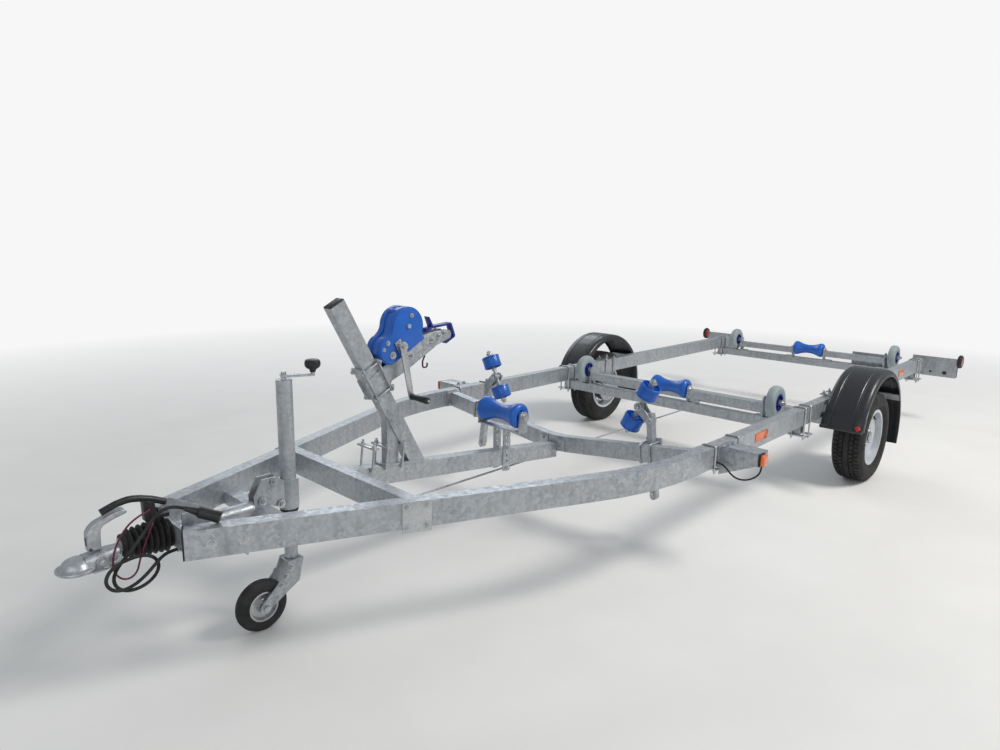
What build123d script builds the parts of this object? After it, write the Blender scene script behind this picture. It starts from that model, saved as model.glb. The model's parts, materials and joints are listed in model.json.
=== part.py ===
"""Boat trailer: two bent rails, braked coupling, winch stand, jockey wheel, keel and side rollers.

Millimetres, +X towards the coupling, +Y to the left side, +Z up. The origin is on the floor,
halfway along and across the trailer. Stations along the trailer are measured from the wheel axis.
"""
import os
from math import cos, radians, sin, tan

from build123d import *

os.makedirs("parts", exist_ok=True)

# Overall reach, ahead of and behind the wheel axis
nose_reach = 4225
tail_reach = 2150
axle_x = (tail_reach - nose_reach) / 2

# Main rails: hollow box section, bent in plan to form the drawbar
rail_top = 545
rail_height = 100
rail_width = 60
rail_wall = 4
rail_span = 1800
rail_tail = 1990
rail_nose = nose_reach - 335
nose_spread = 134.17792
bend_radius = 1400
bend_angle = 23.7
bend_end_y = rail_span / 2 - rail_width / 2 - bend_radius * (1 - cos(radians(bend_angle)))
straight_nose = (bend_end_y - nose_spread) / tan(radians(bend_angle))
bend_ahead = rail_nose - straight_nose - bend_radius * sin(radians(bend_angle))
cap_thickness = 6

# Road wheels
wheel_y = rail_span / 2 + 130
tyre_diameter = 575
tyre_width = 185
bead_radius = 165
flange_radius = 178
rim_width = 150
rim_wall = 4
wheel_offset = 26
stud_circle = 112
stud_count = 5
drum_radius = 112
hub_clearance = 0.5
stub_radius = 20

# Torsion axle, ahead of and above the wheel axis
axle_ahead = 130
axle_height = 385
axle_size = 70
axle_wall = 6
axle_half_length = rail_span / 2 - 7
arm_thickness = 32
arm_end_radius = 38

# Mudguards
guard_radius = 436
guard_width = 236
guard_sheet = 4
guard_lip = 26
guard_front_angle = 6
guard_rear_angle = 22
stay_angle = 31
stay_thickness = 6

# Cross members
front_bar_ahead = rail_nose - 703
front_bar_depth = 50
keel_width = 60
keel_height = 80
keel_wall = 4
keel_rear_top = 395
vee_ahead = bend_ahead - 88
vee_depth = 50
vee_height = 84
vee_centre_top = 428
vee_end_top = 541
vee_bend_radius = 900
vee_wall = 4
vee_plate = 8
nose_bar_ahead = rail_nose - 328
nose_bar_depth = 60
nose_bar_height = 50
beam_size = 60
beam_wall = 4
beam_half_length = rail_span / 2 - 20
cradle_stations = {"mid": 620, "rear": -1860}

# Side roller cradles
bar_size = 50
bar_wall = 4
bar_level = 505
cheek_thickness = 8
side_roller_y = rail_span / 2 - 193
side_roller_level = 545
side_roller_radius = 100
side_roller_width = 55
side_hub_radius = 47
pin_radius = 10
pin_clearance = 0.5
roller_gap = 5

# Keel rollers
keel_roller_length = 260
keel_roller_radius = 62
keel_waist_radius = 38
keel_roller_level = 530
front_roller_ahead = bend_ahead + 342
front_roller_level = 632

# Pairs of small bow rollers on rocking arms
post_y = rail_span / 2 - 340
post_size = 35
post_foot = 215
post_top = 650
rock_level = 672
rock_inboard = 60
rock_tilt = 63.7
rock_swing = 10
rock_fork_drop = 40
bow_roller_radius = 53
bow_roller_width = 70
bow_roller_reach = 93.5

# Winch stand
stand_foot_ahead = front_bar_ahead - 359
stand_lean = 28.6
stand_length = 815
stand_depth = 70
stand_width = 50
stand_wall = 4
brace_ahead = stand_foot_ahead + 132
brace_size = 60
brace_width = 40
foot_plate = 8
arm_height_on_stand = 430
arm_length = 325
crank_reach = 222
crank_y = 64

# Coupling and overrun housing
coupling_level = 490
head_radius = 60
ball_ahead = nose_reach - head_radius
ball_radius = 25.2
ball_depth = 18
shaft_radius = 25
housing_radius = 30
housing_front = rail_nose - 5
housing_rear = housing_front - 293
gaiter_front = ball_ahead - 119
gaiter_radius = 60
gaiter_pleats = 6
handbrake_width = 28
brake_rod_radius = 5
brake_rod_y = -45
brake_rod_level = 312

# Jockey wheel
jockey_ahead = rail_nose - 448
sleeve_radius = 30
sleeve_wall = 3
sleeve_top = 950
clamp_level = rail_top - 25
sleeve_foot = 305
leg_radius = 25
leg_top = 800
leg_foot = 256
jockey_trail = 133
jockey_radius = 100
jockey_width = 50
fork_sheet = 5
fork_bridge = 10
jockey_up = 40
jockey_down = 150
screw_lead = 8

# Lamps and number plate
board_ahead = -2095
board_inner = rail_span / 2 - 100
board_outer = rail_span / 2 + 235
board_height = 165
board_top = 556
marker_radius = 55
marker_width = 34
lamp_depth = 52
outrigger_ahead = bend_ahead - 265
outrigger_end = rail_span / 2 + 188
number_y = rail_span / 2 - 385
number_level = 495

# Cords: lamp cable with its plug, breakaway cable, lead of a side marker lamp
cable_diameter = 11
cable_boss = 12
plug_radius = 20
breakaway_diameter = 6
lead_diameter = 8

# Values that follow from the ones above
rail_bottom = rail_top - rail_height
rail_mid = rail_top - rail_height / 2
rail_outer_y = rail_span / 2
rail_y = rail_outer_y - rail_width / 2
rail_inner_y = rail_outer_y - rail_width
slope = tan(radians(bend_angle))
bend_x = axle_x + bend_ahead
nose_start_x = bend_x + bend_radius * sin(radians(bend_angle))
nose_start_y = rail_y - bend_radius * (1 - cos(radians(bend_angle)))
nose_x = axle_x + rail_nose
wheel_radius = tyre_diameter / 2
front_bar_x = axle_x + front_bar_ahead
keel_front_x = front_bar_x - front_bar_depth / 2
vee_x = axle_x + vee_ahead
keel_rear_x = vee_x + vee_depth / 2
keel_slope = (rail_top - keel_rear_top) / (keel_front_x - keel_rear_x)
beam_top = rail_bottom
bar_top = bar_level + bar_size / 2


def rail_centre_y(x):
    """Cross-wise place of the left rail's centre line on the straight part of the drawbar."""
    return nose_start_y - (x - nose_start_x) * slope


def rail_inside_y(x):
    """Cross-wise place of the left rail's inner face on the straight part of the drawbar."""
    return rail_centre_y(x) - rail_width / 2 / cos(radians(bend_angle))


def keel_top(x):
    """Height of the sloping keel beam's upper face."""
    return rail_top - (keel_front_x - x) * keel_slope


def outline(plane, *points):
    """Closed outline with straight edges."""
    with BuildSketch(plane) as sketch:
        with BuildLine():
            Polyline(*points, close=True)
        make_face()
    return sketch.sketch


def cross_profile(x, y, z, side, points):
    """Outline to turn about a cross-wise axis; points are (outward offset, radius)."""
    return outline(Plane.YZ.offset(x), *[(y + side * offset, z + radius) for offset, radius in points])


def cross_axis(x, z):
    """Cross-wise axis through a point of the side view."""
    return Axis((x, 0, z), (0, 1, 0))


def rail_band(level, width):
    """The left rail seen from above, as a band of the given width."""
    with BuildSketch(Plane.XY.offset(level)) as band:
        with BuildLine():
            rear = Line((axle_x - rail_tail, rail_y), (bend_x, rail_y))
            bend = JernArc(rear @ 1, rear % 1, bend_radius, -bend_angle)
            Line(bend @ 1, (nose_x, rail_centre_y(nose_x)))
        trace(line_width=width)
    return band.sketch


def ring(plane, width, height, bar, depth):
    """Square clamp bow that closes round a section of the given size."""
    with BuildSketch(plane) as sketch:
        Rectangle(width + 2 * bar, height + 2 * bar)
        Rectangle(width, height, mode=Mode.SUBTRACT)
    return extrude(sketch.sketch, amount=depth / 2, both=True, mode=Mode.PRIVATE)


def tongue(plane, centre, radius, foot, width):
    """Plate outline with one round end about centre, tangent to a straight foot edge."""
    with BuildSketch(plane) as sketch:
        with Locations(centre):
            Circle(radius)
        with BuildLine():
            Polyline(
                (centre[0] - radius, centre[1]),
                (centre[0] + radius, centre[1]),
                (foot[0] + width / 2, foot[1]),
                (foot[0] - width / 2, foot[1]),
                close=True,
            )
        make_face()
    return sketch.sketch


# Main rails
with BuildPart() as rails:
    extrude(rail_band(rail_bottom, rail_width), amount=rail_height)
    extrude(
        rail_band(rail_bottom + rail_wall, rail_width - 2 * rail_wall),
        amount=rail_height - 2 * rail_wall,
        mode=Mode.SUBTRACT,
    )
    mirror(about=Plane.XZ)

# Plastic caps in the rails' ends and on the winch stand
nose_direction = Vector(cos(radians(bend_angle)), -sin(radians(bend_angle)), 0)
nose_side = Vector(sin(radians(bend_angle)), cos(radians(bend_angle)), 0)
nose_plane = Plane(origin=(nose_x, rail_centre_y(nose_x), rail_mid), x_dir=nose_side, z_dir=nose_direction)
stand_direction = Vector(sin(radians(stand_lean)), 0, cos(radians(stand_lean)))
stand_across = Vector(cos(radians(stand_lean)), 0, -sin(radians(stand_lean)))
stand_foot_x = axle_x + stand_foot_ahead
stand_foot = Vector(stand_foot_x, 0, keel_top(stand_foot_x))
stand_plane = Plane(origin=stand_foot, x_dir=stand_direction, z_dir=(0, 1, 0))
stand_end = Plane(origin=stand_foot + stand_direction * stand_length, x_dir=stand_across, z_dir=stand_direction)

with BuildPart() as end_caps:
    with BuildSketch(nose_plane):
        Rectangle(rail_width, rail_height)
    extrude(amount=cap_thickness)
    with Locations((axle_x - rail_tail - cap_thickness / 2, rail_y, rail_mid)):
        Box(cap_thickness, rail_width, rail_height)
    mirror(about=Plane.XZ)
    with BuildSketch(stand_end):
        Rectangle(stand_depth, stand_width)
    extrude(amount=cap_thickness)

# Cross members between the rails
nose_bar_x = axle_x + nose_bar_ahead
with BuildPart() as crossbars:
    for bar_x, depth, height in (
        (front_bar_x, front_bar_depth, rail_height),
        (nose_bar_x, nose_bar_depth, nose_bar_height),
    ):
        front_x = bar_x + depth / 2
        rear_x = bar_x - depth / 2
        extrude(
            outline(
                Plane.XY.offset(rail_bottom),
                (front_x, rail_inside_y(front_x)),
                (front_x, -rail_inside_y(front_x)),
                (rear_x, -rail_inside_y(rear_x)),
                (rear_x, rail_inside_y(rear_x)),
            ),
            amount=height,
        )
        with Locations((bar_x, 0, rail_bottom + height / 2)):
            Box(depth - 2 * rail_wall, rail_span, height - 2 * rail_wall, mode=Mode.SUBTRACT)
    for station in cradle_stations.values():
        with Locations((axle_x + station, 0, beam_top - beam_size / 2)):
            Box(beam_size, 2 * beam_half_length, beam_size)
            Box(
                beam_size - 2 * beam_wall,
                2 * beam_half_length,
                beam_size - 2 * beam_wall,
                mode=Mode.SUBTRACT,
            )

with BuildPart() as keel_beam:
    extrude(
        outline(
            Plane.XZ,
            (keel_front_x, keel_top(keel_front_x)),
            (keel_front_x, keel_top(keel_front_x) - keel_height),
            (keel_rear_x, keel_top(keel_rear_x) - keel_height),
            (keel_rear_x, keel_top(keel_rear_x)),
        ),
        amount=keel_width / 2,
        both=True,
    )
    extrude(
        outline(
            Plane.XZ,
            (keel_front_x, keel_top(keel_front_x) - keel_wall),
            (keel_front_x, keel_top(keel_front_x) - keel_height + keel_wall),
            (keel_rear_x, keel_top(keel_rear_x) - keel_height + keel_wall),
            (keel_rear_x, keel_top(keel_rear_x) - keel_wall),
        ),
        amount=keel_width / 2 - keel_wall,
        both=True,
        mode=Mode.SUBTRACT,
    )


def vee_band(height, depth):
    """The shallow V of the bow cross member, seen along the trailer."""
    centre = vee_centre_top - vee_height / 2
    end = vee_end_top - vee_height / 2
    with BuildSketch(Plane.YZ.offset(vee_x - depth / 2)) as band:
        with BuildLine():
            FilletPolyline((-rail_span / 2, end), (0, centre), (rail_span / 2, end), radius=vee_bend_radius)
        trace(line_width=height)
    return band.sketch


with BuildPart() as vee_crossbar:
    inner_depth = vee_depth - 2 * vee_wall
    extrude(vee_band(vee_height, vee_depth), amount=vee_depth)
    extrude(vee_band(vee_height - 2 * vee_wall, inner_depth), amount=inner_depth, mode=Mode.SUBTRACT)
    with Locations((vee_x, 0, rail_mid)):
        Box(vee_depth, 2 * (rail_inner_y - vee_plate), 4 * rail_height, mode=Mode.INTERSECT)
    with Locations((vee_x, rail_inner_y - vee_plate / 2, rail_mid)):
        Box(2 * vee_depth, vee_plate, rail_height)
    with Locations((vee_x, -rail_inner_y + vee_plate / 2, rail_mid)):
        Box(2 * vee_depth, vee_plate, rail_height)

# Cradles: bars that end in forks for the keel roller and in stub pins for the side rollers
cheek_y = keel_roller_length / 2 + roller_gap
bracket_y = side_roller_y - side_roller_width / 2 - 40
pin_end = side_roller_y + side_roller_width / 2 + roller_gap
collar_end = side_roller_y - side_roller_width / 2 - roller_gap
with BuildPart() as cradles:
    for station in cradle_stations.values():
        cradle_x = axle_x + station
        with Locations((cradle_x, (cheek_y + bracket_y) / 2, bar_level)):
            Box(bar_size, bracket_y - cheek_y, bar_size)
            Box(bar_size - 2 * bar_wall, bracket_y - cheek_y, bar_size - 2 * bar_wall, mode=Mode.SUBTRACT)
        for plate_y, level in ((cheek_y, keel_roller_level), (bracket_y, side_roller_level)):
            extrude(
                tongue(Plane.XZ.offset(-plate_y), (cradle_x, level), 28, (cradle_x, beam_top), beam_size),
                amount=-cheek_thickness,
            )
        with Locations((cradle_x, cheek_y + cheek_thickness + 30, beam_top + 3)):
            Box(beam_size, 60, 6)
        with Locations((cradle_x, bracket_y - 25, beam_top + 3)):
            Box(beam_size, 50, 6)
        for start, end, radius in (
            (bracket_y, pin_end + 10, pin_radius),
            (bracket_y, collar_end, 16),
            (pin_end, pin_end + 10, 17),
        ):
            with Locations((cradle_x, (start + end) / 2, side_roller_level)):
                Cylinder(radius, end - start, rotation=(90, 0, 0))
    mirror(about=Plane.XZ)
    for station in cradle_stations.values():
        with Locations((axle_x + station, 0, keel_roller_level)):
            Cylinder(pin_radius, 2 * (cheek_y + cheek_thickness), rotation=(90, 0, 0))

# Keel stand: roller fork on two drilled flat posts that clamp the keel beam
front_roller_x = axle_x + front_roller_ahead
stand_seat = front_roller_level - keel_roller_radius - 14
with BuildPart() as keel_stand:
    with Locations((front_roller_x, 0, stand_seat)):
        Box(60, 2 * (cheek_y + cheek_thickness), 8)
    stand_cheek_seat = (front_roller_x, stand_seat - 4)
    for plane in (Plane.XZ.offset(-cheek_y), Plane.XZ.offset(cheek_y + cheek_thickness)):
        cheek = tongue(plane, (front_roller_x, front_roller_level), 26, stand_cheek_seat, 60)
        extrude(cheek, amount=-cheek_thickness)
    with Locations((front_roller_x, 0, front_roller_level)):
        Cylinder(pin_radius, 2 * (cheek_y + cheek_thickness) + 24, rotation=(90, 0, 0))
    post_length = stand_seat - 335
    for side in (-1, 1):
        with Locations((front_roller_x, side * (keel_width / 2 + 3), stand_seat - post_length / 2)):
            Box(50, 6, post_length)
        with Locations(
            *[(front_roller_x, side * (keel_width / 2 + 3), stand_seat - 22 - 30 * row) for row in range(7)]
        ):
            Cylinder(6.5, 8, rotation=(90, 0, 0), mode=Mode.SUBTRACT)

# Keel and side rollers
roller_bore = pin_radius + pin_clearance
keel_rollers = {
    "front": (front_roller_x, front_roller_level),
    "mid": (axle_x + cradle_stations["mid"], keel_roller_level),
    "rear": (axle_x + cradle_stations["rear"], keel_roller_level),
}
for name, (roller_x, roller_z) in keel_rollers.items():
    with BuildPart() as keel_roller:
        with BuildSketch(Plane.YZ.offset(roller_x)):
            with BuildLine():
                half = keel_roller_length / 2
                Polyline(
                    (-half + 40, roller_z + keel_roller_radius - 4),
                    (-half + 22, roller_z + keel_roller_radius),
                    (-half + 8, roller_z + keel_roller_radius - 4),
                    (-half, roller_z + keel_roller_radius - 16),
                    (-half, roller_z + roller_bore),
                    (half, roller_z + roller_bore),
                    (half, roller_z + keel_roller_radius - 16),
                    (half - 8, roller_z + keel_roller_radius - 4),
                    (half - 22, roller_z + keel_roller_radius),
                    (half - 40, roller_z + keel_roller_radius - 4),
                )
                ThreePointArc(
                    (-half + 40, roller_z + keel_roller_radius - 4),
                    (0, roller_z + keel_waist_radius),
                    (half - 40, roller_z + keel_roller_radius - 4),
                )
            make_face()
        revolve(axis=cross_axis(roller_x, roller_z))
    keel_roller.part.label = "keel_roller_" + name
    export_step(keel_roller.part, "parts/keel_roller_" + name + ".step")

for name, station in cradle_stations.items():
    for hand, side in (("left", 1), ("right", -1)):
        half = side_roller_width / 2
        roller_x = axle_x + station
        with BuildPart() as side_roller:
            revolve(
                cross_profile(
                    roller_x,
                    side * side_roller_y,
                    side_roller_level,
                    side,
                    (
                        (-half + 5, roller_bore),
                        (-half + 5, side_hub_radius),
                        (-half, side_hub_radius + 4),
                        (-half, side_roller_radius - 12),
                        (-half + 9, side_roller_radius),
                        (half - 9, side_roller_radius),
                        (half, side_roller_radius - 12),
                        (half, side_hub_radius + 4),
                        (half - 5, side_hub_radius),
                        (half - 5, roller_bore),
                    ),
                ),
                axis=cross_axis(roller_x, side_roller_level),
            )
        label = "side_roller_" + name + "_" + hand
        side_roller.part.label = label
        export_step(side_roller.part, "parts/" + label + ".step")

# Bow roller posts behind the V cross member, with a fork at the top of each
post_x = vee_x - vee_depth / 2 - post_size / 2
rock_y = post_y - rock_inboard
with BuildPart() as bow_posts:
    with Locations((post_x, post_y, (post_foot + post_top) / 2)):
        Box(post_size, post_size, post_top - post_foot)
        Box(post_size - 6, post_size - 6, post_top - post_foot, mode=Mode.SUBTRACT)
    fork_seat = (post_y, post_top - rock_fork_drop)
    for end in (-1, 1):
        fork_plane = Plane.YZ.offset(post_x + end * post_size / 2)
        extrude(tongue(fork_plane, (rock_y, rock_level), 24, fork_seat, post_size), amount=end * 6)
    with Locations((post_x, rock_y, rock_level)):
        Cylinder(8, post_size + 24, rotation=(0, 90, 0))
    mirror(about=Plane.XZ)

# Rocking arms and their rollers
for hand, side in (("left", 1), ("right", -1)):
    along = Vector(0, side * cos(radians(rock_tilt)), sin(radians(rock_tilt)))
    pivot = Vector(post_x, side * rock_y, rock_level)
    arm_plane = Plane(origin=pivot, x_dir=(1, 0, 0), z_dir=along)
    rod_half = bow_roller_reach + bow_roller_width / 2 + roller_gap
    with BuildPart(arm_plane) as rocking_arm:
        Cylinder(pin_radius, 2 * rod_half + 20)
        with Locations((0, 0, rod_half + 5), (0, 0, -rod_half - 5)):
            Cylinder(16, 10)
        Cylinder(17, post_size - 5, rotation=(0, 90, 0))
        Cylinder(8 + pin_clearance, post_size, rotation=(0, 90, 0), mode=Mode.SUBTRACT)
        collar = bow_roller_reach - bow_roller_width / 2 - roller_gap
        with Locations((0, 0, collar - 5), (0, 0, -collar + 5)):
            Cylinder(15, 10)
    rocking_arm.part.label = "rocking_arm_" + hand
    export_step(rocking_arm.part, "parts/rocking_arm_" + hand + ".step")
    for level, place in (("upper", bow_roller_reach), ("lower", -bow_roller_reach)):
        half = bow_roller_width / 2
        middle = pivot + along * place
        with BuildPart() as bow_roller:
            with BuildSketch(Plane(origin=middle, x_dir=(1, 0, 0), z_dir=along.cross(Vector(1, 0, 0)))):
                with BuildLine():
                    Polyline(
                        (roller_bore, -half + 12),
                        (bow_roller_radius - 9, -half + 12),
                        (bow_roller_radius - 5, -half),
                        (bow_roller_radius, -half + 5),
                        (bow_roller_radius, half - 5),
                        (bow_roller_radius - 5, half),
                        (bow_roller_radius - 9, half - 12),
                        (roller_bore, half - 12),
                        close=True,
                    )
                make_face()
            revolve(axis=Axis(middle, along))
        label = "bow_roller_" + level + "_" + hand
        bow_roller.part.label = label
        export_step(bow_roller.part, "parts/" + label + ".step")

# Winch stand on the keel beam
with BuildPart() as winch_stand:
    extrude(
        outline(
            stand_plane,
            (-120, -stand_depth / 2),
            (stand_length, -stand_depth / 2),
            (stand_length, stand_depth / 2),
            (-120, stand_depth / 2),
        ),
        amount=stand_width / 2,
        both=True,
    )
    brace_x = axle_x + brace_ahead
    brace_reach = (brace_x - stand_foot_x) / tan(radians(stand_lean))
    brace_foot = keel_top(brace_x) - 40
    brace_head = stand_foot.Z + brace_reach
    with Locations((brace_x, 0, (brace_foot + brace_head) / 2)):
        Box(brace_size, brace_width, brace_head - brace_foot)
    plate_rear = stand_foot_x - 60
    plate_front = brace_x + 60
    extrude(
        outline(
            Plane.XZ,
            (plate_rear, keel_top(plate_rear) - 60),
            (plate_front, keel_top(plate_front) - 60),
            (plate_front, keel_top(plate_front) + foot_plate),
            (plate_rear, keel_top(plate_rear) + foot_plate),
        ),
        amount=keel_width / 2 + 6,
        both=True,
    )
    extrude(
        outline(
            Plane.XZ,
            (plate_rear - 80, keel_top(plate_rear - 80)),
            (plate_front + 20, keel_top(plate_front + 20)),
            (plate_front + 20, keel_top(plate_front + 20) - 300),
            (plate_rear - 80, keel_top(plate_rear - 80) - 300),
        ),
        amount=rail_span / 4,
        both=True,
        mode=Mode.SUBTRACT,
    )
    with BuildSketch(stand_end):
        Rectangle(stand_depth - 2 * stand_wall, stand_width - 2 * stand_wall)
    extrude(amount=-(stand_length - 260), mode=Mode.SUBTRACT)

# Winch arm: side plates and a web, square to the stand
arm_origin = stand_foot + stand_direction * arm_height_on_stand
arm_direction = stand_across * -1
arm_plane = Plane(origin=arm_origin, x_dir=arm_direction, z_dir=(0, 1, 0))
arm_plate_y = stand_width / 2 + 5
with BuildPart() as winch_arm:
    for side in (-1, 1):
        start = arm_plane.offset(side * stand_width / 2)
        extrude(
            outline(
                start,
                (-stand_depth / 2 - 18, -62),
                (arm_length - 110, -8),
                (arm_length + 55, -8),
                (arm_length + 70, 8),
                (arm_length + 60, 30),
                (arm_length - 60, 30),
                (-stand_depth / 2 - 18, 48),
            ),
            amount=side * 5,
        )
    extrude(
        outline(
            arm_plane,
            (stand_depth / 2, 31),
            (stand_depth / 2, 43),
            (arm_length - 60, 30),
            (arm_length - 60, 20),
        ),
        amount=arm_plate_y,
        both=True,
    )
    extrude(
        outline(
            arm_plane,
            (-stand_depth / 2 - 8, -60),
            (-stand_depth / 2, -60),
            (-stand_depth / 2, 46),
            (-stand_depth / 2 - 8, 46),
        ),
        amount=arm_plate_y,
        both=True,
    )

with BuildPart() as bow_stop:
    stop = arm_length + 45
    extrude(
        outline(
            arm_plane,
            (stop - 62, -32),
            (stop + 40, -46),
            (stop + 62, -34),
            (stop + 34, 4),
            (stop + 56, 44),
            (stop + 36, 58),
            (stop - 62, 54),
        ),
        amount=stand_width / 2,
        both=True,
    )

# Winch under its two-lobed cover
drum_centre = (235, 134)
gear_centre = (112, 96)
with BuildPart() as winch_cover:
    with BuildSketch(arm_plane.offset(-48)):
        with Locations(drum_centre):
            Circle(83)
        with Locations(gear_centre):
            Circle(60)
        with BuildLine():
            Polyline((100, 38), (275, 38), (275, 100), (215, 205), (85, 140), close=True)
        make_face()
    extrude(amount=96)
    with BuildSketch(arm_plane.offset(-60)):
        with BuildLine():
            Polyline((-60, -200), (420, -200), (420, 31), (arm_length - 60, 31), (-60, 50), close=True)
        make_face()
    extrude(amount=120, mode=Mode.SUBTRACT)

crank_local = (158, 88)
crank_centre = arm_plane.from_local_coords(Vector(crank_local[0], crank_local[1], 0))
with BuildPart() as winch_crank:
    shaft_end = crank_y + 12
    with Locations((crank_centre.X, (49 + shaft_end) / 2, crank_centre.Z)):
        Cylinder(12, shaft_end - 49, rotation=(90, 0, 0))
    with BuildSketch(Plane.XZ.offset(-crank_y)):
        with Locations((crank_centre.X, crank_centre.Z), (crank_centre.X - 40, crank_centre.Z - crank_reach + 4)):
            Circle(14)
        with BuildLine():
            Polyline(
                (crank_centre.X - 12, crank_centre.Z + 3),
                (crank_centre.X + 12, crank_centre.Z),
                (crank_centre.X - 30, crank_centre.Z - crank_reach + 2),
                (crank_centre.X - 50, crank_centre.Z - crank_reach + 5),
                close=True,
            )
        make_face()
    extrude(amount=-8)
    with Locations((crank_centre.X - 40, crank_y + 8 + 55, crank_centre.Z - crank_reach + 4)):
        Cylinder(15, 110, rotation=(90, 0, 0))

# Coupling head, overrun shaft, housing and gaiter
ball_x = axle_x + ball_ahead
with BuildPart() as coupling_head:
    with Locations((ball_x, 0, coupling_level - 12)):
        Cylinder(42, 56)
    with BuildSketch(Plane.XY.offset(coupling_level - 46)):
        with Locations((ball_x, 0)):
            Circle(head_radius)
        with BuildLine():
            Polyline((ball_x, 52), (ball_x - 90, 34), (ball_x - 90, -34), (ball_x, -52), close=True)
        make_face()
    extrude(amount=10)
    extrude(
        outline(
            Plane.XZ,
            (ball_x + 40, coupling_level - 38),
            (ball_x - 122, coupling_level - 38),
            (ball_x - 122, coupling_level + 30),
            (ball_x - 40, coupling_level + 30),
            (ball_x + 20, coupling_level + 12),
        ),
        amount=32,
        both=True,
    )
    with Locations((ball_x, 0, coupling_level - 46 + ball_depth / 2)):
        Cylinder(ball_radius, ball_depth, mode=Mode.SUBTRACT)
    with Locations((ball_x, 0, coupling_level - 46 + ball_depth)):
        Sphere(ball_radius, mode=Mode.SUBTRACT)

with BuildPart() as coupling_handle:
    extrude(
        outline(
            Plane.XZ,
            (ball_x - 68, coupling_level + 30),
            (ball_x - 40, coupling_level + 30),
            (ball_x - 20, coupling_level + 24),
            (ball_x - 18, coupling_level + 62),
            (ball_x - 38, coupling_level + 88),
            (ball_x - 128, coupling_level + 120),
            (ball_x - 156, coupling_level + 116),
            (ball_x - 152, coupling_level + 100),
            (ball_x - 82, coupling_level + 70),
            (ball_x - 64, coupling_level + 50),
        ),
        amount=16,
        both=True,
    )

housing_front_x = axle_x + housing_front
housing_rear_x = axle_x + housing_rear
cable_exit = (housing_front_x + cable_boss, 89, coupling_level - 28)
with BuildPart() as overrun_housing:
    with Locations(((housing_front_x + housing_rear_x) / 2, 0, coupling_level)):
        Cylinder(housing_radius, housing_front_x - housing_rear_x, rotation=(0, 90, 0))
        Cylinder(shaft_radius + 1, housing_front_x - housing_rear_x, rotation=(0, 90, 0), mode=Mode.SUBTRACT)
    with BuildSketch(Plane.YZ.offset(housing_front_x - 10)):
        with Locations((0, coupling_level)):
            Rectangle(2 * rail_inside_y(nose_x), 80)
            Circle(shaft_radius + 1, mode=Mode.SUBTRACT)
    extrude(amount=10)
    for side in (-1, 1):
        extrude(
            outline(
                Plane.XZ.offset(-side * (rail_inside_y(nose_x) - 8)),
                (housing_front_x - 10, coupling_level - 40),
                (housing_front_x - 10, coupling_level + 88),
                (housing_front_x - 40, coupling_level + 88),
                (housing_front_x - 190, coupling_level + 6),
                (housing_front_x - 190, coupling_level - 40),
            ),
            amount=side * 8,
        )
    with Locations((housing_front_x + cable_boss / 2, cable_exit[1], cable_exit[2])):
        Cylinder(cable_diameter / 2 + 4, cable_boss, rotation=(0, 90, 0))

with BuildPart() as overrun_shaft:
    shaft_front = ball_x - 122
    shaft_rear = housing_rear_x + 60
    with Locations(((shaft_front + shaft_rear) / 2, 0, coupling_level)):
        Cylinder(shaft_radius, shaft_front - shaft_rear, rotation=(0, 90, 0))

gaiter_front_x = axle_x + gaiter_front
pleat = (gaiter_front_x - 8 - housing_front_x) / gaiter_pleats
with BuildPart() as gaiter:
    crests = []
    for number in range(gaiter_pleats):
        start = housing_front_x + number * pleat
        size = gaiter_radius - 12 * number / gaiter_pleats
        crests.append((start, coupling_level + size - 14))
        crests.append((start + pleat / 2, coupling_level + size))
    crests.append((gaiter_front_x - 8, coupling_level + gaiter_radius - 26))
    with BuildSketch(Plane.XZ):
        with BuildLine():
            Polyline(
                *crests,
                (gaiter_front_x - 8, coupling_level + shaft_radius),
                (housing_front_x, coupling_level + shaft_radius),
                close=True,
            )
        make_face()
    revolve(axis=Axis((0, 0, coupling_level), (1, 0, 0)))

# Handbrake lever, in its released place over the gaiter
with BuildPart() as handbrake:
    extrude(
        outline(
            Plane.XZ,
            (housing_front_x + 36, coupling_level + gaiter_radius + 2),
            (housing_front_x + 78, coupling_level + gaiter_radius + 2),
            (housing_front_x + 82, coupling_level + 124),
            (housing_front_x + 136, coupling_level + 136),
            (housing_front_x + 196, coupling_level + 126),
            (housing_front_x + 202, coupling_level + 156),
            (housing_front_x + 136, coupling_level + 168),
            (housing_front_x + 60, coupling_level + 158),
            (housing_front_x + 8, coupling_level + 146),
            (housing_front_x + 8, coupling_level + 114),
            (housing_front_x + 42, coupling_level + 118),
        ),
        amount=handbrake_width / 2,
        both=True,
    )

# Brake rod from the overrun device's lever to the axle, beside the jockey wheel
rod_front_x = nose_bar_x + nose_bar_depth / 2 + 12
rod_rear_x = axle_x + axle_ahead + axle_size / 2 + 18
with BuildPart() as brake_rod:
    with Locations(((rod_front_x + rod_rear_x) / 2, brake_rod_y, brake_rod_level)):
        Cylinder(brake_rod_radius, rod_front_x - rod_rear_x, rotation=(0, 90, 0))
    with Locations((rod_front_x - 3, brake_rod_y, (brake_rod_level + coupling_level - 40) / 2)):
        Box(6, 30, coupling_level - 40 - brake_rod_level + 20)
    with Locations((axle_x + axle_ahead + axle_size / 2 + 9, brake_rod_y, brake_rod_level + 34)):
        Box(18, 60, 90)

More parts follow.
